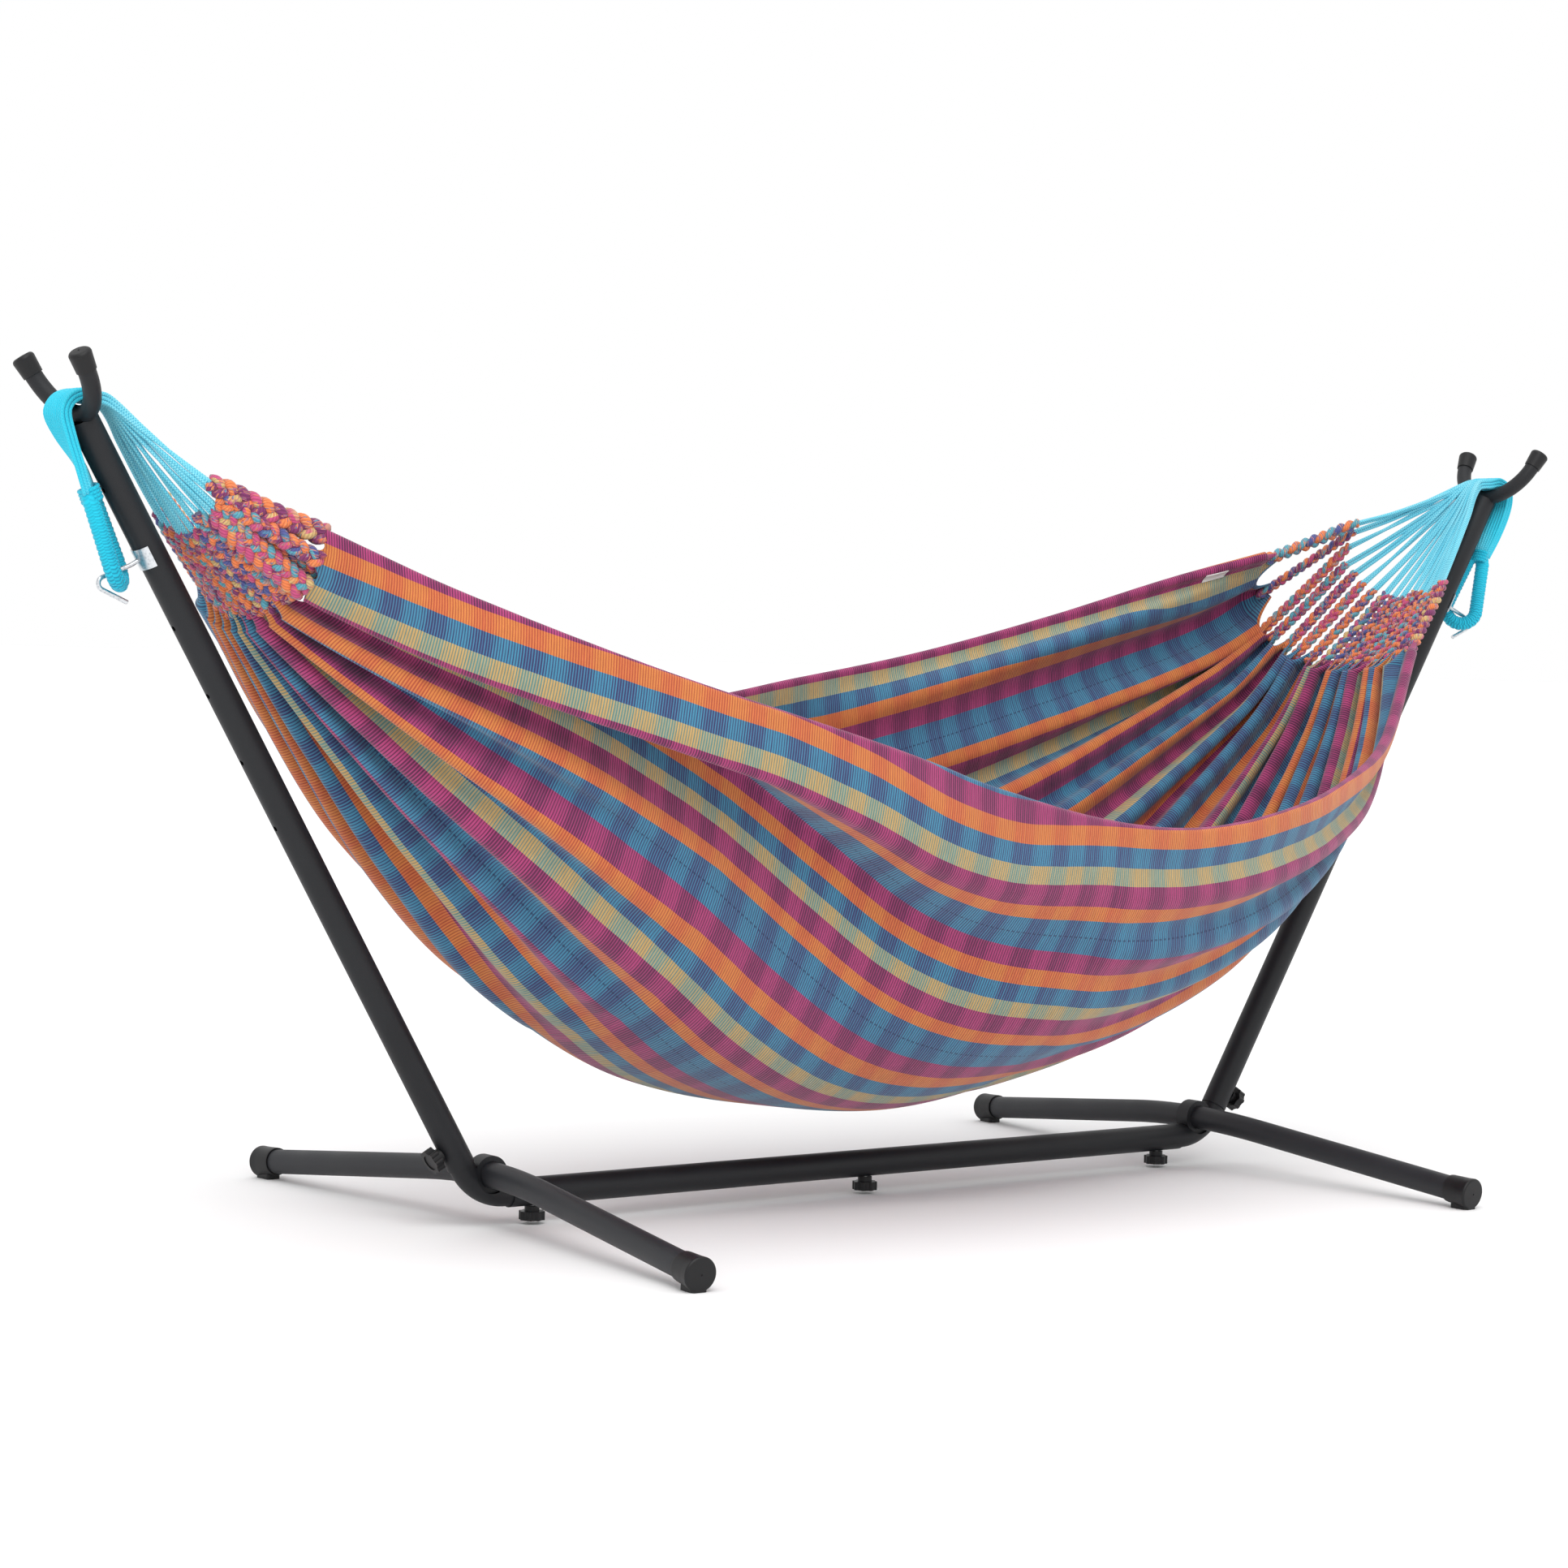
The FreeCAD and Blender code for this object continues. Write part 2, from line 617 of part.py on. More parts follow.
def hammock_bed():
    return shell_between(*bed_faces())


def braids(side):
    """The band of braided warp between the cloth's end and the cords."""
    gap = 0.02
    end = 0.0 if side < 0 else 1.0
    rows = []
    for share in (gap, 0.34, 0.67, 1 - gap):
        row = []
        for v in across_values():
            cloth, cords = bed_point(end, v), cord_line_point(side, v)
            row.append(cloth + (cords - cloth) * share)
        rows.append(row)
    if side < 0:
        rows.reverse()
    return shell_between(*thickened(rows, BRAID_THICK))


def bundle_point(side, v, upper, place):
    """A point on the round bundle the cords form; place is its centre in x and z."""
    angle = math.radians(80) * v
    height = math.cos(angle) * FAN_END_R
    return V(side * place[0], math.sin(angle) * FAN_END_R, place[1] + (height if upper else -height))


def flat_face(a, b, c):
    return Part.Face(Part.makePolygon([a, b, c, a]))


def faceted_solid(rings):
    """A closed solid of flat faces through rings of points; each ring runs out and back."""
    faces = []
    count = len(rings[0])
    for ring_a, ring_b in zip(rings, rings[1:]):
        for k in range(count):
            n = (k + 1) % count
            faces.append(flat_face(ring_a[k], ring_a[n], ring_b[k]))
            faces.append(flat_face(ring_a[n], ring_b[n], ring_b[k]))
    for ring_end in (rings[0], rings[-1]):
        for k in range(count // 2 - 1):
            a, b = ring_end[k], ring_end[k + 1]
            c, d = ring_end[count - 2 - k], ring_end[count - 1 - k]
            faces.append(flat_face(a, b, d))
            faces.append(flat_face(b, c, d))
    shell = Part.Shell(faces)
    shell.sewShape()
    solid = Part.Solid(shell)
    if solid.Volume < 0:
        solid.reverse()
    return solid


def cord_fan(side):
    """The suspension cords between the braids and the fork: a sheet that narrows to a round end."""
    cords_end = [bundle_point(side, v, False, FAN_NECK) for v in across_values()]
    base = [cord_line_point(side, v) for v in across_values()]
    rows = [[a + (b - a) * share for a, b in zip(base, cords_end)] for share in (0.02, 0.2)]
    first = 0
    if side < 0:
        rows.reverse()
        first = 1
    lower, upper = thickened(rows, FAN_THICK)
    rings = [lower[first] + upper[first][::-1]]
    for place in (FAN_NECK, (FAN_END_X, SWING_Z)):
        ring_low = [bundle_point(side, v, False, place) for v in across_values()]
        ring_high = [bundle_point(side, v, True, place) for v in across_values()]
        rings.append(ring_low + ring_high[::-1])
    return faceted_solid(rings)


def loop_neck(side):
    return V(side * 1350.0, 0, 1036.0)


def loop_bottom(side):
    return V(side * 1303.5, 0, 918.5)


def strap(side):
    """The flat bundle of cords: over the fork, then a tapering run down to the loop's neck."""
    points = [V(side * x, 0, z) for x, z in STRAP_LINE]
    curve = Part.BSplineCurve()
    curve.interpolate(points)
    start_way = curve.tangent(curve.FirstParameter)[0]
    end_way = curve.tangent(curve.LastParameter)[0]
    path = Part.Wire([curve.toShape()])
    over = path.makePipeShell([flat_oval(points[0], start_way, STRAP_THICK, STRAP_WIDE)], True, False)
    run = loop_neck(side) - points[-1]
    run.normalize()
    top = flat_oval(points[-1], end_way, STRAP_THICK, STRAP_WIDE)
    low = flat_oval(loop_neck(side) + run * 2, run, STRAP_THICK + 6, 40.0)
    down = Part.makeLoft([top, low], True, True)
    wire, start, direction = loop_path(side)
    return over.fuse(down).cut(sweep(wire, start, direction, LOOP_R + 0.1))


def flat_oval(centre, direction, thick, wide):
    """A flat oval across a direction that lies in the XZ plane."""
    d = V(direction)
    d.normalize()
    across = V(0, 1, 0)
    up = d.cross(across)
    r = thick / 2
    flat = wide / 2 - r
    corners = [centre + across * (a * flat) + up * (b * r) for a, b in ((-1, 1), (1, 1), (1, -1), (-1, -1))]
    right_mid = centre + across * (wide / 2)
    left_mid = centre - across * (wide / 2)
    return Part.Wire([
        line_edge(corners[0], corners[1]), Part.Arc(corners[1], right_mid, corners[2]).toShape(),
        line_edge(corners[2], corners[3]), Part.Arc(corners[3], left_mid, corners[0]).toShape()])


def loop_axes(side):
    """The loop's own directions: down its length, and across its opening."""
    down = loop_bottom(side) - loop_neck(side)
    height = down.Length
    down.normalize()
    spread = LOOP_SPREAD[side]
    across = spread - down * spread.dot(down)
    across.normalize()
    return down, across, height


def loop_path(side):
    """A closed egg shape: a wide arc at the bottom, a tight one at the top, joined by tangents."""
    down, across, height = loop_axes(side)
    low = loop_bottom(side) - down * LOOP_BEND_R
    high = loop_neck(side) + down * LOOP_TOP_R
    lean = math.degrees(math.asin((LOOP_BEND_R - LOOP_TOP_R) / (low - high).Length))
    bottom, b = arc_edge(low, across, down, LOOP_BEND_R, -lean, 180 + lean)
    top, t = arc_edge(high, across, down, LOOP_TOP_R, 180 + lean, 360 - lean)
    wire = Part.Wire([bottom, line_edge(b[2], t[0]), top, line_edge(t[2], b[0])])
    return wire, b[1], across * -1


def end_loop(side):
    """The wrapped loop at the strap's end, as a closed ring of round bar."""
    wire, start, direction = loop_path(side)
    return sweep(wire, start, direction, LOOP_R)


def sewn_label():
    """A small plain label lying on the cloth, inside the far rim near the right end."""
    inner_face = Part.BSplineSurface()
    inner_face.interpolate(bed_faces()[1])
    grid = []
    for i in range(4):
        row = []
        for j in range(4):
            u = LABEL_U[0] + (LABEL_U[1] - LABEL_U[0]) * i / 3
            v = LABEL_V[0] + (LABEL_V[1] - LABEL_V[0]) * j / 3
            row.append(inner_face.value(*inner_face.parameter(bed_point(u, v))))
        grid.append(row)
    _, seat = thickened(grid, LABEL_THICK + 2 * LABEL_GAP)
    return shell_between(*thickened(seat, LABEL_THICK))


# ---- all nodes ----------------------------------------------------------------------------


def build():
    nodes = {}
    for name, side in SIDES.items():
        nodes["beam_" + name] = beam_half(side)
        nodes["elbow_" + name] = elbow(side)
        nodes["foot_ring_" + name] = ring(side)
        nodes["foot_bar_" + name] = foot_bar(side)
        nodes["upright_" + name] = upright(side)
        nodes["fork_" + name] = fork(side)
        nodes["hook_" + name] = hook_rod(side)
        nodes["hook_plate_" + name] = hook_plate(side)
        nodes["braids_" + name] = braids(side)
        nodes["cord_fan_" + name] = cord_fan(side)
        nodes["strap_" + name] = strap(side)
        nodes["end_loop_" + name] = end_loop(side)
        for end, front in (("front", -1), ("back", 1)):
            nodes["foot_cap_%s_%s" % (name, end)] = foot_cap(side, front)
            nodes["fork_cap_%s_%s" % (name, end)] = fork_cap(side, front)
    nuts = []
    for name, point, direction, along in knob_places():
        bore_r = SPIGOT_R - TUBE_WALL if name == "beam_middle" else ELBOW_R - ELBOW_WALL
        nodes["knob_" + name] = knob(point, direction)
        nodes["knob_bolt_" + name] = knob_bolt(point, direction)
        nuts.append(insert_nut(point, direction, bore_r, along))
    nodes["insert_nuts"] = Part.makeCompound(nuts)
    nodes["hammock_bed"] = hammock_bed()
    nodes["sewn_label"] = sewn_label()
    return nodes


def main():
    os.makedirs("parts", exist_ok=True)
    for name, shape in build().items():
        for solid in shape.Solids:
            if not solid.isValid() or solid.Volume <= 0:
                print("PROBLEM", name, solid.isValid(), solid.Volume)
        if not shape.Solids:
            print("PROBLEM", name, "has no solid")
        export(shape, name)


main()
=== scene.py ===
import json
import math
import random

import bpy
import numpy as np
from mathutils import Matrix, Vector


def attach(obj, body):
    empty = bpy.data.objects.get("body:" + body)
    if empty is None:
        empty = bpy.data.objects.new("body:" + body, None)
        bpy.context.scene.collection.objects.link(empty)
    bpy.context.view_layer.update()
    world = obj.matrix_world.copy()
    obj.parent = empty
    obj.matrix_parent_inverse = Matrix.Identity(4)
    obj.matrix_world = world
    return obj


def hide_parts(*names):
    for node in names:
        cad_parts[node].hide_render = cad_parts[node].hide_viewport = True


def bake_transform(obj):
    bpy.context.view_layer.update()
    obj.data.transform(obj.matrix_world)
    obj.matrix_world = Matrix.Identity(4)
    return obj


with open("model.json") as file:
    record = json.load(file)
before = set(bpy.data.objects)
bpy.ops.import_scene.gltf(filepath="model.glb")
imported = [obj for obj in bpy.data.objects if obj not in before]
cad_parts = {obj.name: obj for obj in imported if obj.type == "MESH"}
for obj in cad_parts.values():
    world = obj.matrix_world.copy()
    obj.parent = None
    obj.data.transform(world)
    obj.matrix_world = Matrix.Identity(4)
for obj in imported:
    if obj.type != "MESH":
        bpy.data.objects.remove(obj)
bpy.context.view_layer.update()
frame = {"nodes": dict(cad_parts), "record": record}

# ------------------------ the cloth's sizes
CLOTH_WIDE = 1.66
CLOTH_LONG = 2.40
CLOTH_THICK = 0.0016
STRIPE_PERIOD = 0.240
STRIPE_START = 0.1015
WEFT_PERIOD = 0.069
RIB_PITCH = 0.0040
ROLL_R = 0.007
ROLL_LIMIT = 0.96 * math.pi     # how far round a rim may roll
ROWS = 320
COLUMNS = 560

# The tongues of cloth at each end, one for each plait.
TONGUE_LONG = 0.036
TONGUE_SPREAD = (0.8, 1.25)     # the shortest and the longest, as shares of that
TONGUE_NARROWING = 0.68         # how much of its width a tongue has lost at its tip
TONGUE_ROWS = 9
TONGUE_SEED = {"left": 11, "right": 23}
BAND_TONGUES = 4                # the left tongues by the near rim are short
BAND_TONGUE_SHARE = 0.45
ROOT_SHARE = 0.72               # a plait starts this far along its tongue

# Lines of the hanging cloth, in metres, left to right.
NEAR_RIM = [(-1.077, -0.150, 0.994), (-0.950, -0.279, 0.917), (-0.709, -0.395, 0.819),
            (-0.356, -0.451, 0.717), (0.005, -0.461, 0.616), (0.253, -0.456, 0.587),
            (0.488, -0.431, 0.614), (0.710, -0.348, 0.663), (0.870, -0.262, 0.722),
            (1.032, -0.160, 0.862)]
FAR_RIM = [(-1.060, 0.180, 0.975), (-0.903, 0.250, 0.880), (-0.697, 0.310, 0.812),
           (-0.408, 0.359, 0.762), (-0.108, 0.378, 0.752), (0.137, 0.378, 0.791),
           (0.362, 0.340, 0.837), (0.600, 0.269, 0.905), (0.803, 0.186, 0.972),
           (0.930, 0.100, 1.017)]
KEEL = [(-1.100, 0.000, 0.866), (-1.000, 0.008, 0.705), (-0.880, 0.014, 0.535),
        (-0.700, 0.014, 0.350), (-0.450, 0.012, 0.203), (-0.080, 0.002, 0.134),
        (0.250, 0.002, 0.186), (0.500, 0.008, 0.283), (0.700, 0.014, 0.415),
        (0.850, 0.018, 0.560), (0.960, 0.018, 0.700), (1.030, 0.020, 0.822)]
NEAR_TURN = [105, 95, 92, 90, 80]
FAR_TURN = [105, 97, 95, 105, 150]
CORD_LINE = {"left": [(-1.210, -0.080, 1.060), (-1.215, 0.000, 0.990), (-1.205, 0.085, 1.050)],
             "right": [(1.168, -0.090, 0.985), (1.160, 0.025, 0.962), (1.098, 0.058, 1.090)]}

# Where the cloth's own width meets the rim line: cloth beyond it rolls inwards.
NEAR_CREST = [(0, .026), (.1, .034), (.2, .046), (.3, .046), (.36, .03), (.42, .004), (.47, .006),
              (.54, .040), (.62, .047), (.8, .047), (.9, .040), (1, .03)]
FAR_CREST = [(0, .080), (.3, .086), (.6, .087), (.85, .084), (.93, .076), (1, .070)]

# Pleats across the cloth: edges in metres from the near edge, and how far each turns (radians).
PLEAT_EDGES = {"left": [0, .045, .09, .13, .25, .37, .48, .58, .68, .78, .88, .98, 1.09, 1.21,
                        1.34, 1.50, 1.66],
               "right": [0, .10, .195, .29, .385, .48, .57, .66, .75, .85, .95, 1.05, 1.15,
                         1.245, 1.375, 1.53, 1.66]}
PLEAT_TURN = {"left": [.2, .1, .1, 0, 0, 1.5, 1.7, 1.5, 1.8, 1.55, 1.7, 1.5, 1.75, 1.6, 1.6, .8],
              "right": [.5, 1.5, 1.8, 1.4, 1.75, 1.5, 1.8, 1.45, 1.8, 1.4, 1.75, 1.5, 1.5,
                        1.85, .9, .25]}
# The knife fold under the left end of the near rim band: the cloth doubles back between these.
TUCK_SPAN = (.128, .262)
TUCK_BEND = 0.026
TUCK_TURN = 3.05
TUCK_CLIMB = 0.30
TUCK_CLIMB_WIDE = 0.16

# Each row's pleats are made just strong enough for the cloth to fill its cross-section.
MOST_PLEAT_TURN = 2.1
MOST_STRENGTH = 1.5
HALVINGS = 22
PLEAT_BLUR = 0.05
RIM_CALM = 0.05                 # the pleats fade out over this width beside each rim

# From this part of the length to the right end the far wall is drawn tight and almost straight.
STRAIGHT_FROM = 0.55
STRAIGHT_SHARE = 0.85
STRAIGHT_EASE = 0.25            # the share of that stretch over which the pull sets in

# ------------------------ cords, straps and loops
CORDS_PER_END = 32
BRAIDS_PER_END = 16
# At the left end the knife fold hides two plaits; two more close the opening below the
# flat band, between the plaits with these two numbers.
FILLED_BETWEEN = (2, 5)
FILLER_SHARES = (0.66, 0.33)   # how near each lies to the first of the two
PLAIT_HALF = {"left": 0.0074, "right": 0.0056}
STRAND_R = {"left": 0.0056, "right": 0.0042}
STRANDS = 3
PLAIT_DEPTH = 0.52              # how deep a plait is next to its width
WIDE_PLAIT = 1.3                # the outermost plaits and the first filler are wider
WIDE_PITCH = 1.2
PLAIT_OVERLAP = 0.012           # how far a plait reaches back into its tongue
PLAIT_SEED = {"left": 5, "right": 6}
CORDS_PER_BRAID = 2
CORD_R = 0.0029
CORD_GAP = 0.0056
CORD_SEED = {"left": 31, "right": 47}
STRAP_LINE = [(1.332, 1.1610), (1.3575, 1.1655), (1.375, 1.168), (1.392, 1.160),
              (1.400, 1.143), (1.389, 1.115), (1.366, 1.075), (1.350, 1.036)]
STRAP_HALF = [0.018, 0.027, 0.0285, 0.0285, 0.0285, 0.0285, 0.0265, 0.0185]
STRAP_GAP = [0.0054, 0.0054, 0.0055, 0.0055, 0.0055, 0.0055, 0.0050, 0.0046]
LAYERS = 3
LOOP_LOW = (1.31307, 0.0, 0.94268)
LOOP_HIGH = (1.3452, 0.0, 1.0239)
LOOP_BEND_R = 0.026
LOOP_TOP_R = 0.013
LOOP_TUBE_R = 0.0118
LOOP_SPREAD = {"left": (0.6, 0.8, 0.0), "right": (0.76, -0.65, 0.0)}
LOOP_LOW_STEPS = 96
LOOP_HIGH_STEPS = 40
LOOP_SIDE_STEPS = 80
LASHING_PITCH = 0.0075
COLLAR_PLACE = (1.350, 0.0, 1.0365)
COLLAR_TURNS = 4
COLLAR_HALF_WIDE = 0.0185
COLLAR_HALF_DEEP = 0.0115
COLLAR_PITCH = 0.0052
COLLAR_START = -0.010

# The tag: parts of the length, metres across the cloth, heights of its two faces above it.
LABEL_ALONG = [0.948, 0.968]
LABEL_ACROSS = [1.566, 1.588]
LABEL_LOW = 0.0012
LABEL_TOP = 0.0022

SIDES = {"left": -1.0, "right": 1.0}
SIDEWAYS = np.array([0.0, 1.0, 0.0])
DOWN = np.array([0.0, 0.0, -1.0])

# ------------------------ camera
CAMERA_PLACE = (-3.61829, -4.55281, 0.87417)
CAMERA_YAW = math.radians(37.085)
CAMERA_PITCH = math.radians(-2.329)
CAMERA_ROLL = math.radians(1.362)
CAMERA_LENS = 85.73
CAMERA_SENSOR = 36.0


# ======================== small maths helpers
def smooth(x):
    x = np.clip(x, 0.0, 1.0)
    return x * x * (3.0 - 2.0 * x)


def unit(v):
    v = np.asarray(v, float)
    return v / np.maximum(np.linalg.norm(v, axis=-1, keepdims=True), 1e-12)


def square_to(direction, tangent):
    """The part of a direction that is square to each tangent, as unit vectors."""
    direction = np.broadcast_to(np.asarray(direction, float), tangent.shape)
    return unit(direction - (direction * tangent).sum(1)[:, None] * tangent)


def lengths_along(path):
    """Distance from the start of the path to each of its points."""
    steps = np.linalg.norm(np.diff(path, axis=0), axis=1)
    return np.concatenate([[0.0], np.cumsum(steps)])


def curve_point(points, u):
    """Cubic Hermite through the points, by chord length."""
    p = np.array(points, float)
    l = lengths_along(p)
    l = l / l[-1]
    slope = np.empty_like(p)
    slope[1:-1] = (p[2:] - p[:-2]) / (l[2:] - l[:-2])[:, None]
    slope[0] = (p[1] - p[0]) / (l[1] - l[0])
    slope[-1] = (p[-1] - p[-2]) / (l[-1] - l[-2])
    u = np.atleast_1d(np.asarray(u, float))
    i = np.clip(np.searchsorted(l, u, side="right") - 1, 0, len(p) - 2)
    h = (l[i + 1] - l[i])[:, None]
    t = (u[:, None] - l[i][:, None]) / h
    a = (1 + 2 * t) * (1 - t) ** 2
    b = t * (1 - t) ** 2
    c = t * t * (3 - 2 * t)
    d = t * t * (t - 1)
    return a * p[i] + b * h * slope[i] + c * p[i + 1] + d * h * slope[i + 1]


def eased(u, table):
    """Values of a short table, joined without corners."""
    fine = np.linspace(-0.1, 1.1, 481)
    values = np.interp(fine, *zip(*table))
    kernel = np.hanning(31)
    soft = np.convolve(np.pad(values, 15, mode="edge"), kernel / kernel.sum(), mode="valid")
    return np.interp(u, fine, soft)


def turn_at(turns, u):
    """A rim's turn in radians, from a few values in degrees spread evenly along the cloth."""
    q = np.clip(u, 0, 1) * (len(turns) - 1)
    i = np.clip(q.astype(int), 0, len(turns) - 2)
    t = smooth(q - i)
    turns = np.array(turns, float)
    return np.radians(turns[i] * (1 - t) + turns[i + 1] * t)


def section(keel, near, far, near_turn, far_turn, v):
    """Points of one cross-section, v from -1 at the near rim to 1 at the far rim."""
    t = np.abs(v)[None, :]
    is_far = (v > 0)[None, :]
    phi = np.where(is_far, far_turn[:, None], near_turn[:, None])
    rim = np.where(is_far[..., None], far[:, None, :], near[:, None, :])
    low = keel[:, None, :]
    along = t * np.ones_like(phi)
    out = np.sin(phi * t) / np.sin(phi)
    rise = (1 - np.cos(phi * t)) / (1 - np.cos(phi))
    return low + (rim - low) * np.stack([along, out, rise], axis=-1)


# ======================== the cloth
SECTION_STEPS = 301
SECTION_V = np.linspace(-1, 1, SECTION_STEPS)


def base_section(u):
    """Cross-sections of the hanging cloth at these parts of its length."""
    return section(curve_point(KEEL, u), curve_point(NEAR_RIM, u), curve_point(FAR_RIM, u),
                   turn_at(NEAR_TURN, u), turn_at(FAR_TURN, u), SECTION_V)


def pull_straight(points, u):
    """Draws the far wall by the right end straight, where the cloth is tight."""
    start = base_section(np.array([STRAIGHT_FROM]))
    stop = base_section(np.array([1.0]))
    part = np.clip((u - STRAIGHT_FROM) / (1 - STRAIGHT_FROM), 0, 1)[:, None, None]
    chord = start * (1 - part) + stop * part
    weight = smooth((SECTION_V - 0.05) / 0.35) * smooth((1 - SECTION_V) / 0.12)
    weight = weight[None, :, None] * STRAIGHT_SHARE * smooth(part / STRAIGHT_EASE)
    return points + (chord - points) * weight


def base_table(u):
    """Rows of the base surface at even steps of arc, with tangents and outward normals."""
    raw = pull_straight(base_section(u), u)
    steps = np.linalg.norm(np.diff(raw, axis=1), axis=2)
    arc = np.concatenate([np.zeros((len(u), 1)), np.cumsum(steps, axis=1)], axis=1)
    total = arc[:, -1]
    even = np.linspace(0, 1, SECTION_STEPS)
    points = np.empty_like(raw)
    for r in range(len(u)):
        for axis in range(3):
            points[r, :, axis] = np.interp(even, arc[r] / total[r], raw[r, :, axis])
    across = unit(np.gradient(points, axis=1))
    along = unit(np.gradient(points, axis=0))
    out = unit(np.cross(across, along))
    return points, across, out, total


def pleat_angle(side, w):
    """How far the cloth turns at each point across it, for one end's pleats."""
    edges = PLEAT_EDGES[side]
    angle = np.zeros_like(w)
    for i, turn in enumerate(PLEAT_TURN[side]):
        inside = (w >= edges[i]) & (w <= edges[i + 1])
        part = (w - edges[i]) / (edges[i + 1] - edges[i])
        angle = np.where(inside, turn * np.sin(2 * np.pi * part), angle)
    return angle


def tuck_angle(w):
    """The turn of the knife fold, and the slow climb back out after it."""
    first, last = TUCK_SPAN
    fold = smooth((w - first) / TUCK_BEND) * (1 - smooth((w - last + TUCK_BEND) / TUCK_BEND))
    climb = np.sin(np.pi * np.clip((w - last) / TUCK_CLIMB_WIDE, 0, 1)) ** 2
    return -TUCK_TURN * fold + TUCK_CLIMB * climb


def running_sum(values, step):
    """The area under each row up to each column."""
    total = np.cumsum((values[:, 1:] + values[:, :-1]) * 0.5 * step, axis=1)
    return np.concatenate([np.zeros((len(values), 1)), total], axis=1)


def at_columns(table, w, x):
    """Each row's value at its own place across the cloth."""
    return np.array([np.interp(x[r], w, table[r]) for r in range(len(table))])


def blur_rows(table, sigma, step):
    """Each row smoothed by a bell curve of this width."""
    half = int(3 * sigma / step)
    kernel = np.exp(-0.5 * (np.arange(-half, half + 1) * step / sigma) ** 2)
    kernel /= kernel.sum()
    padded = np.pad(table, ((0, 0), (half, half)), mode="edge")
    return np.array([np.convolve(row, kernel, mode="valid") for row in padded])


def pleat_waves(u, w):
    """The turn of the regular pleats and that of the knife fold, at every grid point."""
    left = 1 - smooth((u - 0.10) / 0.55)
    right = smooth((u - 0.36) / 0.50)
    wave = left[:, None] * pleat_angle("left", w) + right[:, None] * pleat_angle("right", w)
    fade = 1 - smooth(u / 0.62)
    return wave, fade[:, None] * tuck_angle(w)


def turned(strength, wave, tuck):
    """The cloth's whole turn at every grid point, for pleats of this strength."""
    return np.clip(strength[:, None] * wave, -MOST_PLEAT_TURN, MOST_PLEAT_TURN) + tuck


def fitting_strength(wave, tuck, near, far, total, w):
    """How strong each row's pleats must be for the cloth to fill its cross-section."""
    step = w[1] - w[0]
    low = np.zeros(len(total))
    high = np.full(len(total), MOST_STRENGTH)
    for _ in range(HALVINGS):
        middle = 0.5 * (low + high)
        advance = running_sum(np.cos(turned(middle, wave, tuck)), step)
        reach = at_columns(advance, w, far) - at_columns(advance, w, near)
        too_long = reach > total
        low = np.where(too_long, middle, low)
        high = np.where(too_long, high, middle)
    return 0.5 * (low + high)


def cloth_layout(u, w):
    """Where each row's pleats put the cloth: fraction across the section, and height."""
    points, across, out, total = base_table(u)
    wave, tuck = pleat_waves(u, w)
    near = eased(u, NEAR_CREST)
    far = CLOTH_WIDE - eased(u, FAR_CREST)
    step = w[1] - w[0]
    turn = turned(fitting_strength(wave, tuck, near, far, total, w), wave, tuck)
    advance = running_sum(np.cos(turn), step)
    start = at_columns(advance, w, near)
    reach = at_columns(advance, w, far) - start
    fraction = (advance - start[:, None]) / reach[:, None]
    height = running_sum(np.sin(turn), step)
    fold = running_sum(np.sin(tuck), step)
    climb = fold[:, -1:] * smooth((w[None, :] - 0.30) / 0.35)
    height = height - climb - blur_rows(height - fold, PLEAT_BLUR, step)
    return points, across, out, fraction, height, near, far


def look_up(table, fraction):
    """Each row's table read at the given fractions of the way across."""
    even = np.linspace(0, 1, table.shape[1])
    flat = np.clip(fraction, 0, 1)
    result = np.empty(fraction.shape + (table.shape[2],))
    for r in range(len(table)):
        for a in range(table.shape[2]):
            result[r, :, a] = np.interp(flat[r], even, table[r, :, a])
    return result


def slow_waves(u, w):
    """Gentle hollows and swells of hanging cloth, strongest away from the ends."""
    u = u[:, None]
    w = w[None, :]
    mid = np.sin(np.pi * np.clip(u, 0, 1)) ** 0.7
    a = np.sin(9.0 * w + 7.0 * u + 0.6) * np.sin(4.0 * u * np.pi + 2.2 * w)
    b = np.sin(23.0 * w - 8.0 * u) * np.sin(2.6 * np.pi * u + 1.0)
    return mid * (0.0050 * a + 0.0028 * b)


def cloth_points(u, w):
    """The whole bed of cloth on the (row, column) grid."""
    points, across, out, fraction, height, near, far = cloth_layout(u, w)
    side = look_up(across, fraction)
    normal = unit(look_up(out, fraction))
    inside_near = w[None, :] - near[:, None]
    inside_far = far[:, None] - w[None, :]
    calm = smooth(inside_near / RIM_CALM) * smooth(inside_far / RIM_CALM)
    lift = height * (0.25 + 0.75 * calm) + slow_waves(u, w) * calm
    place = look_up(points, fraction) + normal * lift[..., None]
    for sign, inside in ((-1.0, inside_near), (1.0, inside_far)):
        past = np.clip(-inside, 0, None)
        turn = np.minimum(past / ROLL_R, ROLL_LIMIT)
        rest = past - turn * ROLL_R
        beyond = sign * side * (ROLL_R * np.sin(turn) + rest * np.cos(turn))[..., None]
        over = sign * normal * (ROLL_R * (1 - np.cos(turn)) + rest * np.sin(turn))[..., None]
        place = np.where((past > 0)[..., None], place + beyond + over, place)
    return place


def pleat_index(side, w):
    """The number of the pleat that each column belongs to at this end."""
    edges = np.array(PLEAT_EDGES[side])
    return np.clip(np.searchsorted(edges, w, side="right") - 1, 0, len(edges) - 2)


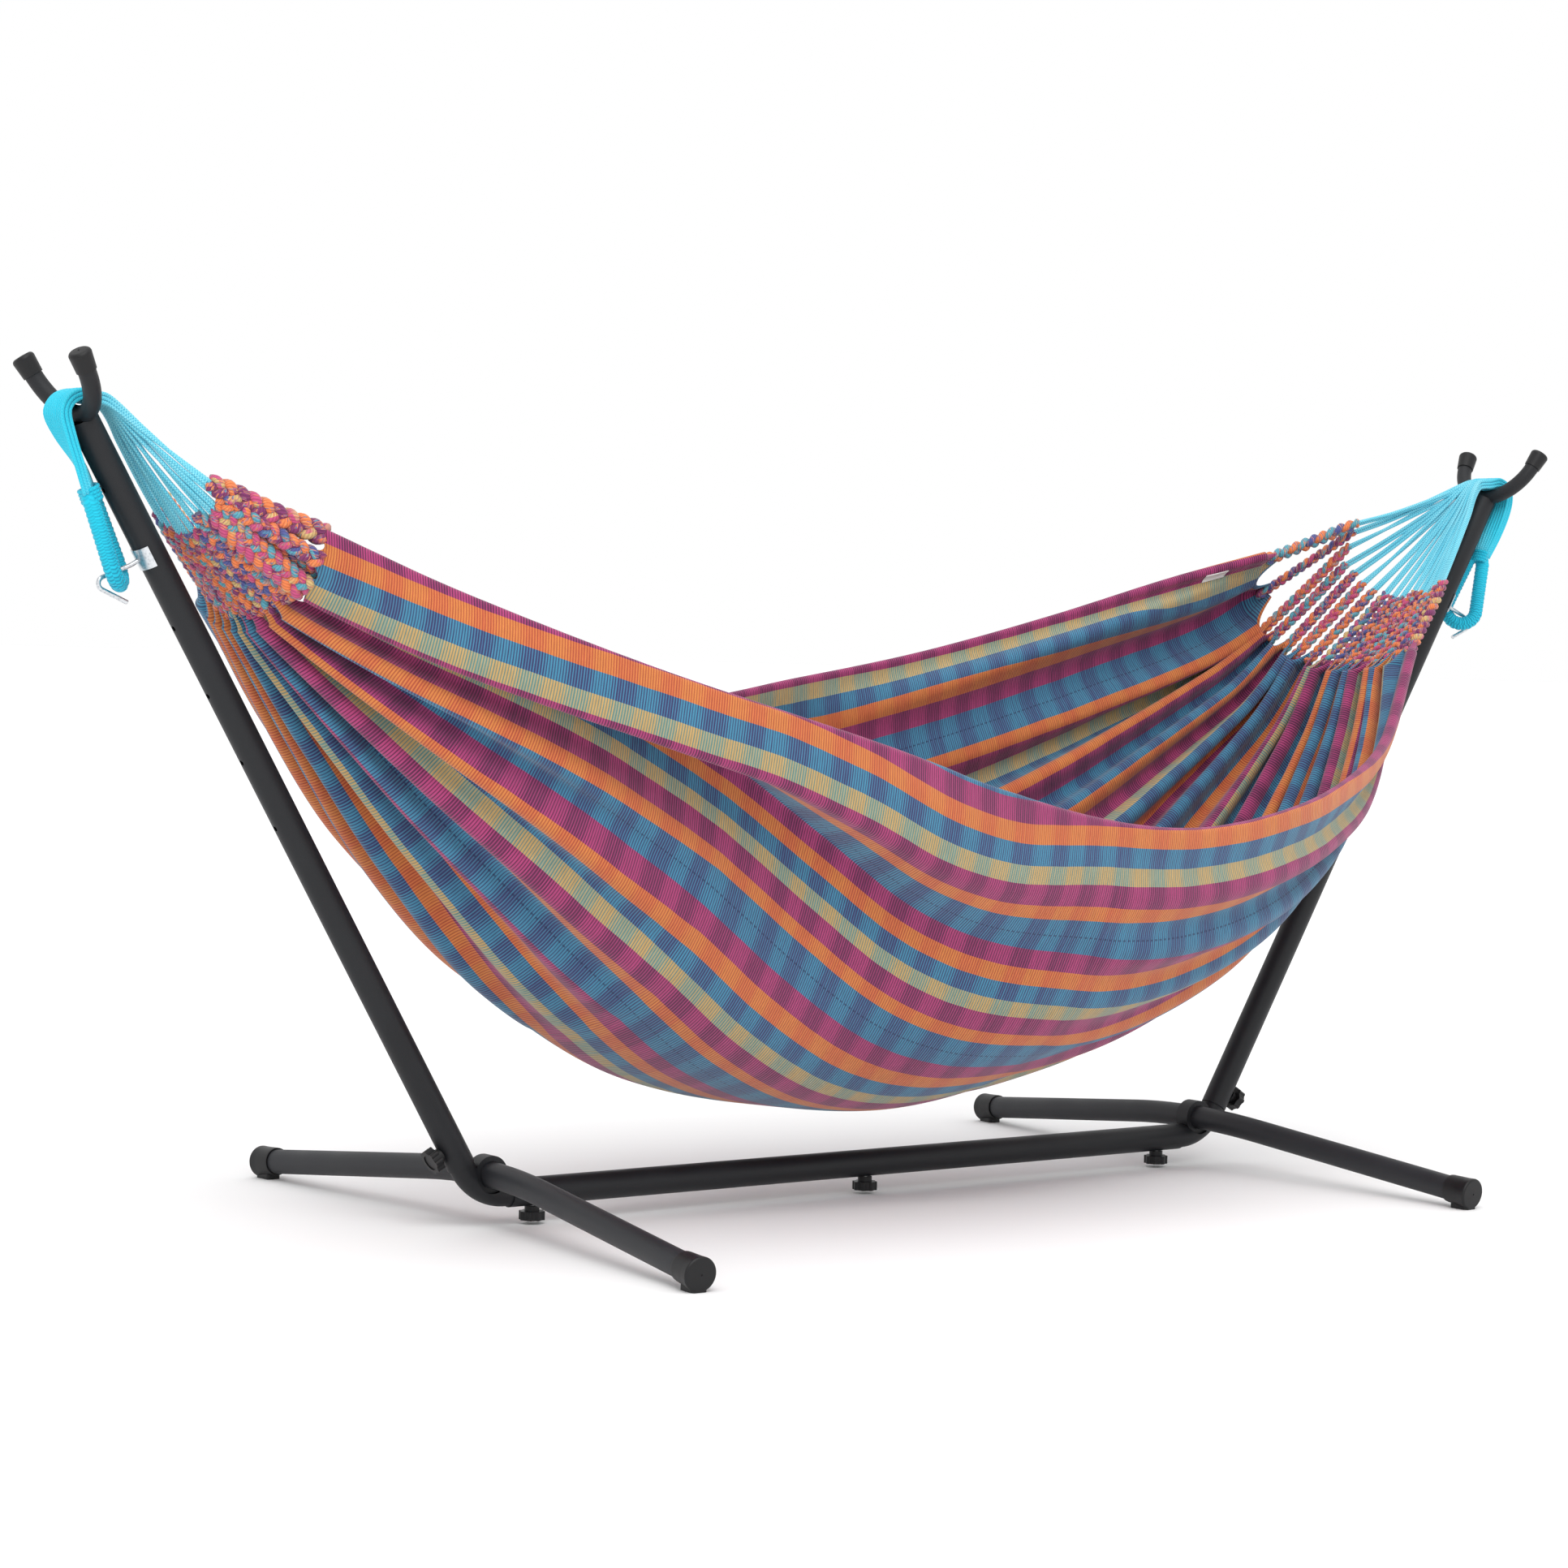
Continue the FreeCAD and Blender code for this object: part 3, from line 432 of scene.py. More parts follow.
def cord_line_point(side, v):
    """Points of the line where the braids end and the cords begin."""
    near, low, far = [np.array([p], float) for p in CORD_LINE[side]]
    turn = -1 if side == "right" else 0
    near_turn = np.radians([NEAR_TURN[turn]])
    far_turn = np.radians([FAR_TURN[turn]])
    return section(low, near, far, near_turn, far_turn, np.atleast_1d(np.asarray(v, float)))[0]


def tongue_lengths(side):
    rng = random.Random(TONGUE_SEED[side])
    reach = np.array([TONGUE_LONG * rng.uniform(*TONGUE_SPREAD) for _ in range(BRAIDS_PER_END)])
    if side == "left":
        reach[:BAND_TONGUES] *= BAND_TONGUE_SHARE
    return reach


def tongue_frames(side, edge_row, index):
    """Middle and heading of each tongue, and the place on the cord line it heads for."""
    shares = (np.arange(BRAIDS_PER_END) + 0.5) / BRAIDS_PER_END
    targets = cord_line_point(side, -1 + 2 * shares)
    centres = np.array([edge_row[index == i].mean(axis=0) for i in range(BRAIDS_PER_END)])
    return centres, unit(targets - centres), targets


def tongue_rows(edge_row, index, centres, heads, reach):
    """Rows of points down the narrowing tongues, with how far out each point is."""
    rows = []
    depths = []
    for q in range(1, TONGUE_ROWS + 1):
        part = (q / TONGUE_ROWS) ** 1.6
        shrink = 1 - TONGUE_NARROWING * part ** 0.55
        depth = reach[index] * part
        rows.append(centres[index] + heads[index] * depth[:, None]
                    + (edge_row - centres[index]) * shrink)
        depths.append(depth)
    return rows, depths


def build_cloth():
    """Grid of the bed with its tongues; also gives each braid's starting place."""
    u = np.linspace(0, 1, ROWS)
    w = np.linspace(0, CLOTH_WIDE, COLUMNS)
    place = cloth_points(u, w)
    rows = list(place)
    along = [np.full(COLUMNS, x) for x in u * CLOTH_LONG]
    kinds = ["bed"] * ROWS
    roots = {}
    for side in SIDES:
        edge_row = place[0 if side == "left" else -1]
        index = pleat_index(side, w)
        reach = tongue_lengths(side)
        centres, heads, targets = tongue_frames(side, edge_row, index)
        new_rows, depths = tongue_rows(edge_row, index, centres, heads, reach)
        if side == "left":
            rows = new_rows[::-1] + rows
            along = [-depth for depth in depths[::-1]] + along
            kinds = [side] * TONGUE_ROWS + kinds
        else:
            rows = rows + new_rows
            along = along + [CLOTH_LONG + depth for depth in depths]
            kinds = kinds + [side] * TONGUE_ROWS
        roots[side] = (centres + heads * (reach * ROOT_SHARE)[:, None], heads, targets)
    return np.array(rows), np.array(along), kinds, w, roots, place, u


def smooth_shaded(mesh):
    mesh.polygons.foreach_set("use_smooth", [True] * len(mesh.polygons))
    mesh.update()
    return mesh


def grid_mesh(name, rows, along, kinds, w):
    """Faces between neighbouring grid points, left out between two tongues."""
    n_rows, n_cols = rows.shape[:2]
    index = {side: pleat_index(side, w) for side in SIDES}
    faces = []
    for r in range(n_rows - 1):
        kind = kinds[r] if kinds[r] != "bed" else kinds[r + 1]
        base = r * n_cols
        for c in range(n_cols - 1):
            if kind != "bed" and index[kind][c] != index[kind][c + 1]:
                continue
            faces.append((base + c, base + c + 1, base + n_cols + c + 1, base + n_cols + c))
    mesh = bpy.data.meshes.new(name)
    mesh.from_pydata(rows.reshape(-1, 3).tolist(), [], faces)
    layer = mesh.uv_layers.new(name="cloth")
    loops = np.empty(len(mesh.loops), dtype=np.int64)
    mesh.loops.foreach_get("vertex_index", loops)
    flat = np.stack([np.tile(w, n_rows), along.reshape(-1)], axis=1)
    layer.data.foreach_set("uv", flat[loops].reshape(-1).astype(np.float32))
    return smooth_shaded(mesh)


def link(name, mesh, material):
    mesh.materials.append(material)
    obj = bpy.data.objects.new(name, mesh)
    bpy.context.scene.collection.objects.link(obj)
    return obj


# ======================== tubes
def cross_frame(path, hint, closed):
    """Two directions square to the path at each point, the first one nearest to the hint."""
    if closed:
        tangent = unit(np.roll(path, -1, axis=0) - np.roll(path, 1, axis=0))
    else:
        tangent = unit(np.gradient(path, axis=0))
    side = square_to(hint, tangent)
    return side, np.cross(tangent, side)


class TubeSet:
    """Gathers many tubes into one mesh, with UVs of turns around and metres along."""

    def __init__(self):
        self.verts = []
        self.faces = []
        self.uvs = []
        self.count = 0
        self.number = 0

    def add(self, path, radius, sides=8, hint=(0, 0, 1), closed=False, shape=None):
        path = np.asarray(path, float)
        side, other = cross_frame(path, hint, closed)
        s = lengths_along(path)
        psi = np.arange(sides) * 2 * np.pi / sides
        r = np.broadcast_to(np.asarray(radius, float), (len(path),))[:, None] * np.ones((1, sides))
        if shape is not None:
            r = r * shape(s[:, None], psi[None, :])
        ring = (path[:, None, :] + side[:, None, :] * (r * np.cos(psi))[..., None]
                + other[:, None, :] * (r * np.sin(psi))[..., None])
        self.verts.extend(ring.reshape(-1, 3).tolist())
        if closed:
            s = np.append(s, s[-1] + np.linalg.norm(path[0] - path[-1]))
        self.add_sides(len(path), sides, s)
        if not closed:
            self.add_caps(len(path), sides, s)
        self.count += len(path) * sides
        self.number += 1

    def add_sides(self, rings, sides, s):
        """Faces from each ring to the next; s ends with the whole length where it closes."""
        for i in range(len(s) - 1):
            here = self.count + i * sides
            there = self.count + (i + 1) % rings * sides
            for k in range(sides):
                m = (k + 1) % sides
                self.faces.append((here + k, here + m, there + m, there + k))
                u0 = self.number + k / sides
                u1 = self.number + (k + 1) / sides
                self.uvs.extend([(u0, s[i]), (u1, s[i]), (u1, s[i + 1]), (u0, s[i + 1])])

    def add_caps(self, rings, sides, s):
        for i, flip in ((0, True), (rings - 1, False)):
            ids = [self.count + i * sides + k for k in range(sides)]
            self.faces.append(tuple(ids[::-1] if flip else ids))
            self.uvs.extend([(self.number, s[i])] * sides)

    def mesh(self, name):
        mesh = bpy.data.meshes.new(name)
        mesh.from_pydata(self.verts, [], self.faces)
        layer = mesh.uv_layers.new(name="tube")
        layer.data.foreach_set("uv", np.array(self.uvs, np.float32).reshape(-1))
        return smooth_shaded(mesh)


def even_path(points, spacing):
    """Smooth path through the points, resampled to even spacing."""
    fine = curve_point(points, np.linspace(0, 1, 40 * len(points)))
    s = lengths_along(fine)
    n = max(4, int(round(s[-1] / spacing)) + 1)
    at = np.linspace(0, s[-1], n)
    return np.stack([np.interp(at, s, fine[:, a]) for a in range(3)], axis=1)


# ======================== braids
def with_fillers(starts, heads, targets):
    """Adds the plaits that close the opening below the flat band, across the knife fold."""
    first, last = FILLED_BETWEEN
    grown = []
    for values in (starts, heads, targets):
        between = [values[first] * share + values[last] * (1 - share) for share in FILLER_SHARES]
        grown.append(np.insert(values, last, between, axis=0))
    return grown


def add_plait(tubes, side, is_wide, start, target, head, beside, rng):
    """Adds one three-strand plait, and gives the place where its cords begin."""
    scale = WIDE_PLAIT if is_wide else 1.0
    wide = PLAIT_HALF[side] * scale * rng.uniform(0.92, 1.08)
    strand = STRAND_R[side] * scale
    start = start - head * PLAIT_OVERLAP
    end = target + head * rng.uniform(-0.010, 0.012)
    middle = (start + end) / 2 + DOWN * rng.uniform(0.000, 0.004)
    path = even_path([start, middle, end], 0.0028)
    tangent = unit(np.gradient(path, axis=0))
    lateral = square_to(beside, tangent)
    normal = np.cross(tangent, lateral)
    s = lengths_along(path)
    pitch = rng.uniform(0.038, 0.046) * (WIDE_PITCH if is_wide else 1.0)
    shift = rng.uniform(0, 6.28)
    taper = 0.80 + 0.20 * smooth((s[-1] - s) / 0.03)
    for j in range(STRANDS):
        phase = 2 * np.pi * s / pitch + 2 * np.pi * j / STRANDS + shift
        offset = (lateral * (wide * np.sin(phase) * taper)[:, None]
                  + normal * (PLAIT_DEPTH * wide * np.sin(2 * phase) * taper)[:, None])
        tubes.add(path + offset, strand * taper, hint=normal)
    return end - head * 0.006


def build_braids(side, roots, material):
    """The plaits from the cloth's tongues to the cord line; gives the tips that carry cords."""
    starts, heads, targets = roots
    fillers = range(0)
    if side == "left":
        starts, heads, targets = with_fillers(starts, heads, targets)
        fillers = range(FILLED_BETWEEN[1], FILLED_BETWEEN[1] + len(FILLER_SHARES))
    last = len(starts) - 1
    wide_ones = {0, last, *fillers[:1]}
    tubes = TubeSet()
    rng = random.Random(PLAIT_SEED[side])
    tips = []
    for i in range(last + 1):
        beside = unit(targets[min(i + 1, last)] - targets[max(i - 1, 0)])
        tip = add_plait(tubes, side, i in wide_ones, starts[i], targets[i], heads[i], beside, rng)
        if i not in fillers:
            tips.append(tip)
    braids = link("plaits_" + side, tubes.mesh("plaits_" + side), material)
    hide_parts("braids_" + side)
    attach(braids, "hammock")
    return braids, tips


# ======================== cords over the forks
def strap_frame(side):
    """Centre line of the bundle over the fork, with its normal and its width direction."""
    sign = SIDES[side]
    line = np.array([(sign * x, 0.0, z) for x, z in STRAP_LINE])
    tangent = unit(np.gradient(line, axis=0))
    normal = unit(np.cross(tangent, SIDEWAYS) * sign)
    spread = unit(np.array(LOOP_SPREAD[side]))
    spread = spread * math.copysign(1.0, spread[1])
    turn = smooth((np.arange(len(line)) - 4) / 3.0)[:, None]
    lateral = unit(SIDEWAYS * (1 - turn) + spread * turn)
    return line, normal, lateral


def cord_route(number, tips, strap, droop):
    """Points of one cord, from its plait over the fork to the collar of the eye."""
    line, normal, lateral = strap
    braid = number // CORDS_PER_BRAID
    half = number % CORDS_PER_BRAID - 0.5
    neighbour = tips[min(braid + 1, BRAIDS_PER_END - 1)] - tips[max(braid - 1, 0)]
    first = tips[braid] + unit(neighbour) * half * CORD_GAP
    layer = number % LAYERS
    in_layer = len(range(layer, CORDS_PER_END, LAYERS))
    across = (number // LAYERS + 0.5) / in_layer * 2 - 1
    over = []
    for i in range(len(line)):
        offset = lateral[i] * across * STRAP_HALF[i] + normal[i] * (layer - 1) * STRAP_GAP[i]
        over.append(line[i] + offset)
    fan = over[0] - first
    a = first + fan * 0.33 + DOWN * droop
    b = first + fan * 0.70 + DOWN * droop * 0.7
    return [first, a, b] + over


def build_cords(side, tips, material):
    """Each cord runs from its braid over the fork and down into the lashing."""
    strap = strap_frame(side)
    rng = random.Random(CORD_SEED[side])
    tubes = TubeSet()
    for number in range(CORDS_PER_END):
        route = cord_route(number, tips, strap, rng.uniform(0.001, 0.005))
        tubes.add(even_path(route, 0.0050), CORD_R * rng.uniform(0.96, 1.05), hint=SIDEWAYS)
    cords = link("cords_" + side, tubes.mesh("cords_" + side), material)
    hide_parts("cord_fan_" + side, "strap_" + side)
    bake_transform(cords)
    return cords


# ======================== lashed end loops
def egg_path(side):
    """Centre line of the closed loop: a wide low arc and a narrow high one."""
    mirror = np.array([SIDES[side], 1.0, 1.0])
    low = mirror * LOOP_LOW
    high = mirror * LOOP_HIGH
    down = unit(low - high)
    spread = np.array(LOOP_SPREAD[side])
    across = unit(spread - (spread @ down) * down)
    lean = math.asin((LOOP_TOP_R - LOOP_BEND_R) / np.linalg.norm(low - high))
    bends = ((low, LOOP_BEND_R, lean, math.pi - lean, LOOP_LOW_STEPS),
             (high, LOOP_TOP_R, math.pi - lean, 2 * math.pi + lean, LOOP_HIGH_STEPS))
    path = []
    out = []
    for number, (centre, radius, first, last, count) in enumerate(bends):
        for angle in np.linspace(first, last, count):
            out.append(across * math.cos(angle) + down * math.sin(angle))
            path.append(centre + out[-1] * radius)
        next_centre, next_radius = bends[1 - number][:2]
        start = path[-1]
        step = (next_centre + out[-1] * next_radius - start) / LOOP_SIDE_STEPS
        for k in range(1, LOOP_SIDE_STEPS):
            path.append(start + step * k)
            out.append(out[-1])
    return np.array(path), np.array(out)


def lashing_shape(s, psi):
    """Ridges of the wound turns, and the stitched groove along the outer side."""
    wave = np.abs(np.sin(np.pi * (s / LASHING_PITCH + 0.10 * np.sin(psi))))
    turns = 0.87 + 0.13 * wave ** 0.5
    groove = 0.12 * np.exp(-((psi - 0.9) / 0.16) ** 2)
    return turns - groove


def collar_path(side):
    """The turns of cord wound round the neck of the bundle, above the eye."""
    mirror = np.array([SIDES[side], 1.0, 1.0])
    (high_x, high_z), (low_x, low_z) = STRAP_LINE[-2:]
    up = unit(mirror * (high_x - low_x, 0.0, high_z - low_z))
    deep = np.cross(up, SIDEWAYS)
    t = np.linspace(0, 2 * np.pi * COLLAR_TURNS, 40 * COLLAR_TURNS)
    rise = COLLAR_PITCH * t / (2 * np.pi) + COLLAR_START
    return (mirror * COLLAR_PLACE + up * rise[:, None]
            + SIDEWAYS * (COLLAR_HALF_WIDE * np.cos(t))[:, None]
            + deep * (COLLAR_HALF_DEEP * np.sin(t))[:, None]), up


def build_loop(side, material):
    """The wound eye that hangs on the hook, with its collar."""
    tubes = TubeSet()
    path, out = egg_path(side)
    tubes.add(path, LOOP_TUBE_R, sides=32, hint=out, closed=True, shape=lashing_shape)
    collar, up = collar_path(side)
    tubes.add(collar, CORD_R, sides=10, hint=up)
    loop = link("lashed_loop_" + side, tubes.mesh("lashed_loop_" + side), material)
    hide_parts("end_loop_" + side)
    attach(loop, "stand")


# ======================== the sewn label
def patch_border(rows, columns):
    """Vertex numbers once round the edge of a grid."""
    border = [(0, c) for c in range(columns)]
    border += [(r, columns - 1) for r in range(1, rows)]
    border += [(rows - 1, c) for c in range(columns - 2, -1, -1)]
    border += [(r, 0) for r in range(rows - 2, 0, -1)]
    return [r * columns + c for r, c in border]


def slab_faces(rows, columns):
    """Faces of a thin slab whose two sides are grids, the top one's vertices first."""
    size = rows * columns
    faces = []
    for r in range(rows - 1):
        for c in range(columns - 1):
            a = r * columns + c
            faces.append((a, a + columns, a + columns + 1, a + 1))
            faces.append((size + a, size + a + 1, size + a + columns + 1, size + a + columns))
    border = patch_border(rows, columns)
    for a, b in zip(border, border[1:] + border[:1]):
        faces.append((a, b, size + b, size + a))
    return faces


def build_label(place, u, w, material):
    """A small plain tag sewn flat inside the far rim near the right end."""
    r0, r1 = np.searchsorted(u, LABEL_ALONG)
    c0, c1 = np.searchsorted(w, LABEL_ACROSS)
    patch = place[r0:r1 + 1, c0:c1 + 1]
    inward = unit(np.cross(np.gradient(patch, axis=0), np.gradient(patch, axis=1)))
    sides = np.array([patch + inward * LABEL_TOP, patch + inward * LABEL_LOW])
    mesh = bpy.data.meshes.new("label")
    mesh.from_pydata(sides.reshape(-1, 3).tolist(), [], slab_faces(*patch.shape[:2]))
    label = link("sewn_tag", smooth_shaded(mesh), material)
    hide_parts("sewn_label")
    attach(label, "hammock")
    return label


# ======================== materials
def srgb(r, g, b):
    """Linear colour from the usual 0-255 values."""
    def one(c):
        c /= 255.0
        return c / 12.92 if c <= 0.04045 else ((c + 0.055) / 1.055) ** 2.4
    return (one(r), one(g), one(b), 1.0)


class Graph:
    """A material with its principled shader, and short calls for its nodes."""

    def __init__(self, name):
        self.mat = bpy.data.materials.new(name)
        self.mat.use_nodes = True
        self.tree = self.mat.node_tree
        self.shader = self.tree.nodes["Principled BSDF"]

    def node(self, kind, inputs=(), **settings):
        node = self.tree.nodes.new(kind)
        for key, value in settings.items():
            setattr(node, key, value)
        for key, value in dict(inputs).items():
            if isinstance(value, bpy.types.NodeSocket):
                self.tree.links.new(value, node.inputs[key])
            else:
                node.inputs[key].default_value = value
        return node

    def maths(self, what, a, b=0.0, c=0.0):
        return self.node("ShaderNodeMath", {0: a, 1: b, 2: c}, operation=what).outputs[0]

    def times(self, a, b):
        return self.maths("MULTIPLY", a, b)

    def wave(self, value, pitch):
        """A sine from -1 to 1 that repeats at this pitch."""
        return self.maths("SINE", self.times(value, 2 * math.pi / pitch))

    def lifted(self, wave):
        """The same wave from 0 to 1."""
        return self.maths("MULTIPLY_ADD", wave, 0.5, 0.5)

    def remap(self, value, low, high, to_low, to_high):
        inputs = {0: value, 1: low, 2: high, 3: to_low, 4: to_high}
        return self.node("ShaderNodeMapRange", inputs).outputs[0]

    def mix(self, factor, a, b, blend="MIX"):
        return self.node("ShaderNodeMix", {0: factor, 6: a, 7: b}, data_type="RGBA",
                         blend_type=blend).outputs[2]

    def darken(self, colour, strength, mask, low, high, darkest):
        """Darkens the colour where the mask is low."""
        shade = self.ramp(mask, [(low, grey(darkest)), (high, grey(1.0))])
        return self.mix(strength, colour, shade, "MULTIPLY")

    def noise(self, vector, scale, detail=2.0, rough=0.5):
        inputs = {"Vector": vector, "Scale": scale, "Detail": detail, "Roughness": rough}
        return self.node("ShaderNodeTexNoise", inputs).outputs["Fac"]

    def streaks(self, x, y, x_scale, y_scale, detail=2.0):
        """Noise stretched by its own amount each way."""
        return self.noise(self.join(self.times(x, x_scale), self.times(y, y_scale)), 1.0, detail)

    def random(self, value):
        """A value of its own for each number."""
        return self.node("ShaderNodeTexWhiteNoise", {"W": value},
                         noise_dimensions="1D").outputs[0]

    def ramp(self, factor, stops, mode="LINEAR"):
        node = self.node("ShaderNodeValToRGB", {"Fac": factor})
        ramp = node.color_ramp
        ramp.interpolation = mode
        while len(ramp.elements) > 1:
            ramp.elements.remove(ramp.elements[-1])
        ramp.elements[0].position = stops[0][0]
        ramp.elements[0].color = stops[0][1]
        for at, colour in stops[1:]:
            ramp.elements.new(at).color = colour
        return node.outputs["Color"]

    def split_uv(self, name):
        uv = self.node("ShaderNodeUVMap", uv_map=name)
        parts = self.node("ShaderNodeSeparateXYZ", {0: uv.outputs[0]})
        return parts.outputs[0], parts.outputs[1]

    def join(self, x, y, z=0.0):
        return self.node("ShaderNodeCombineXYZ", {0: x, 1: y, 2: z}).outputs[0]

    def object_place(self):
        return self.node("ShaderNodeTexCoord").outputs["Object"]

    def bump(self, height, strength, distance, below=None):
        inputs = {"Height": height, "Strength": strength, "Distance": distance}
        if below is not None:
            inputs["Normal"] = below
        return self.node("ShaderNodeBump", inputs).outputs[0]

    def wire(self, **sockets):
        for key, value in sockets.items():
            name = {"color": "Base Color", "rough": "Roughness", "normal": "Normal",
                    "metal": "Metallic", "sheen": "Sheen Weight",
                    "sheen_rough": "Sheen Roughness", "specular": "Specular IOR Level",
                    "coat": "Coat Weight", "coat_rough": "Coat Roughness"}[key]
            socket = self.shader.inputs[name]
            if isinstance(value, bpy.types.NodeSocket):
                self.tree.links.new(value, socket)
            else:
                socket.default_value = value
        return self.mat


def grey(amount):
    return (amount, amount, amount, 1.0)


# Each stripe's warp shows two colours, as the weft bands cross it.
KHAKI = (srgb(202, 164, 104), srgb(120, 158, 150))
MAGENTA = (srgb(178, 66, 120), srgb(110, 46, 86))
ORANGE = (srgb(216, 132, 70), srgb(206, 99, 66))
BLUE = (srgb(70, 139, 172), srgb(66, 70, 118))
WEFT_LEVELS = (-0.60, 0.52)     # how far a dark and a light weft band move the mixture
YARN_PITCH = 0.0017
BLUE_LINE_AT = 0.483            # a dashed dark line, at this part of the repeat
BLUE_LINE_HALF = 0.006
DASH_PITCH = 0.009

# The plaits' mixed yarns.
YARNS = [(0.0, srgb(232, 128, 78)), (0.26, srgb(84, 88, 146)), (0.42, srgb(92, 162, 180)),
         (0.58, srgb(196, 80, 124)), (0.76, srgb(126, 56, 102)), (0.92, srgb(208, 176, 120))]
PLIES = 5

# The cords' stitches, and where along X their colour deepens as they meet the fork.
STITCH_PITCH = 0.0042
STITCH_COLUMNS = 6
DEEPER_FROM = 1.325
DEEPER_BY = 1.375


def stripe_stops(which):
    """Stripe edges as parts of one repeat: khaki, magenta, orange, wide blue and so on."""
    edges = [0.0, 0.1125, 0.254, 0.358, 0.608, 0.750, 0.871]
    kinds = [KHAKI, MAGENTA, ORANGE, BLUE, MAGENTA, ORANGE, BLUE]
    return [(at, kind[which]) for at, kind in zip(edges, kinds)]


def stripe_colours(g, w, t):
    """The stripes' light and dark colours, and the part of the repeat at each place."""
    wobble = g.streaks(w, t, 3.0, 9.0)
    soft = g.maths("ADD", w, g.maths("MULTIPLY_ADD", wobble, 0.004, -0.002))
    start = g.maths("SUBTRACT", soft, STRIPE_START)
    repeat = g.maths("FRACT", g.maths("DIVIDE", start, STRIPE_PERIOD))
    light, dark = [g.ramp(repeat, stripe_stops(which), "CONSTANT") for which in (0, 1)]
    return light, dark, repeat


def weft_mixture(g, w, t, rib):
    """How much of the light colour shows: uneven weft bands, ribs and single picks."""
    picks = g.streaks(w, t, 2.0, 260.0, 1.0)
    uneven = g.noise(g.join(0.0, g.times(t, 7.0)), 1.0, 1.0)
    moved = g.maths("ADD", t, g.times(uneven, 0.030))
    band = g.remap(g.wave(moved, WEFT_PERIOD), -0.5, 0.5, *WEFT_LEVELS)
    thread = g.maths("ADD", g.maths("ADD", rib, band), g.maths("MULTIPLY_ADD", picks, 1.6, -0.8))
    return g.remap(thread, -0.7, 0.7, 0.0, 1.0)


def blue_line(g, repeat, t):
    """Where the dashed dark line down the middle of each wide blue stripe lies."""
    distance = g.maths("ABSOLUTE", g.maths("SUBTRACT", repeat, BLUE_LINE_AT))
    dashes = g.maths("GREATER_THAN", g.wave(t, DASH_PITCH), -0.2)
    return g.times(g.maths("LESS_THAN", distance, BLUE_LINE_HALF), dashes)


def cloth_material():
    """Striped cotton: ribs run across the cloth; between them the darker weft colour shows, with shade
    painted there too.
    """
    g = Graph("striped_cotton")
    w, t = g.split_uv("cloth")
    light, dark, repeat = stripe_colours(g, w, t)
    rib = g.wave(t, RIB_PITCH)
    colour = g.mix(weft_mixture(g, w, t, rib), dark, light)
    colour = g.mix(g.times(blue_line(g, repeat, t), 0.65), colour, srgb(36, 44, 84))
    rib = g.lifted(rib)
    yarn = g.lifted(g.wave(w, YARN_PITCH))
    slub = g.streaks(w, t, 60.0, 420.0)
    wear = g.streaks(w, t, 6.0, 5.0, 3.0)
    # Painted shade between the ribs.
    colour = g.darken(colour, 0.75, rib, 0.0, 0.5, 0.52)
    colour = g.darken(colour, 0.55, slub, 0.30, 0.70, 0.72)
    colour = g.darken(colour, 0.45, wear, 0.30, 0.70, 0.80)
    normal = g.bump(g.maths("ADD", rib, g.times(yarn, 0.35)), 0.55, 0.0009)
    normal = g.bump(slub, 0.25, 0.0008, normal)
    return g.wire(color=colour, rough=0.86, normal=normal, sheen=0.25, sheen_rough=0.5,
                  specular=0.25)


def braid_material():
    """Mixed yarns that change along each strand, over the twist of its plies."""
    g = Graph("braided_cotton")
    around, along = g.split_uv("tube")
    twist = g.maths("MULTIPLY_ADD", along, 60.0, around)
    strand = g.maths("FLOOR", around)
    first = g.ramp(g.random(strand), YARNS, "CONSTANT")
    second = g.ramp(g.random(g.maths("ADD", strand, 0.37)), YARNS, "CONSTANT")
    place = g.join(g.times(strand, 3.1), g.times(along, 34.0), g.times(around, 0.6))
    change = g.ramp(g.noise(place, 1.0, 1.0), [(0.47, grey(0.0)), (0.53, grey(1.0))])
    colour = g.mix(change, first, second)
    fleck = g.streaks(twist, along, 4.0, 70.0, 1.0)
    third = g.ramp(g.maths("FRACT", g.times(fleck, 7.0)), YARNS, "CONSTANT")
    colour = g.mix(g.times(g.maths("GREATER_THAN", fleck, 0.56), 0.8), colour, third)
    ply = g.lifted(g.wave(twist, 1 / PLIES))
    # Painted shade in the grooves between the plies.
    colour = g.darken(colour, 0.7, ply, 0.0, 0.6, 0.55)
    normal = g.bump(ply, 0.6, 0.0010)
    normal = g.bump(g.noise(g.object_place(), 900.0), 0.25, 0.0006, normal)
    return g.wire(color=colour, rough=0.88, normal=normal, sheen=0.2, sheen_rough=0.5,
                  specular=0.25)


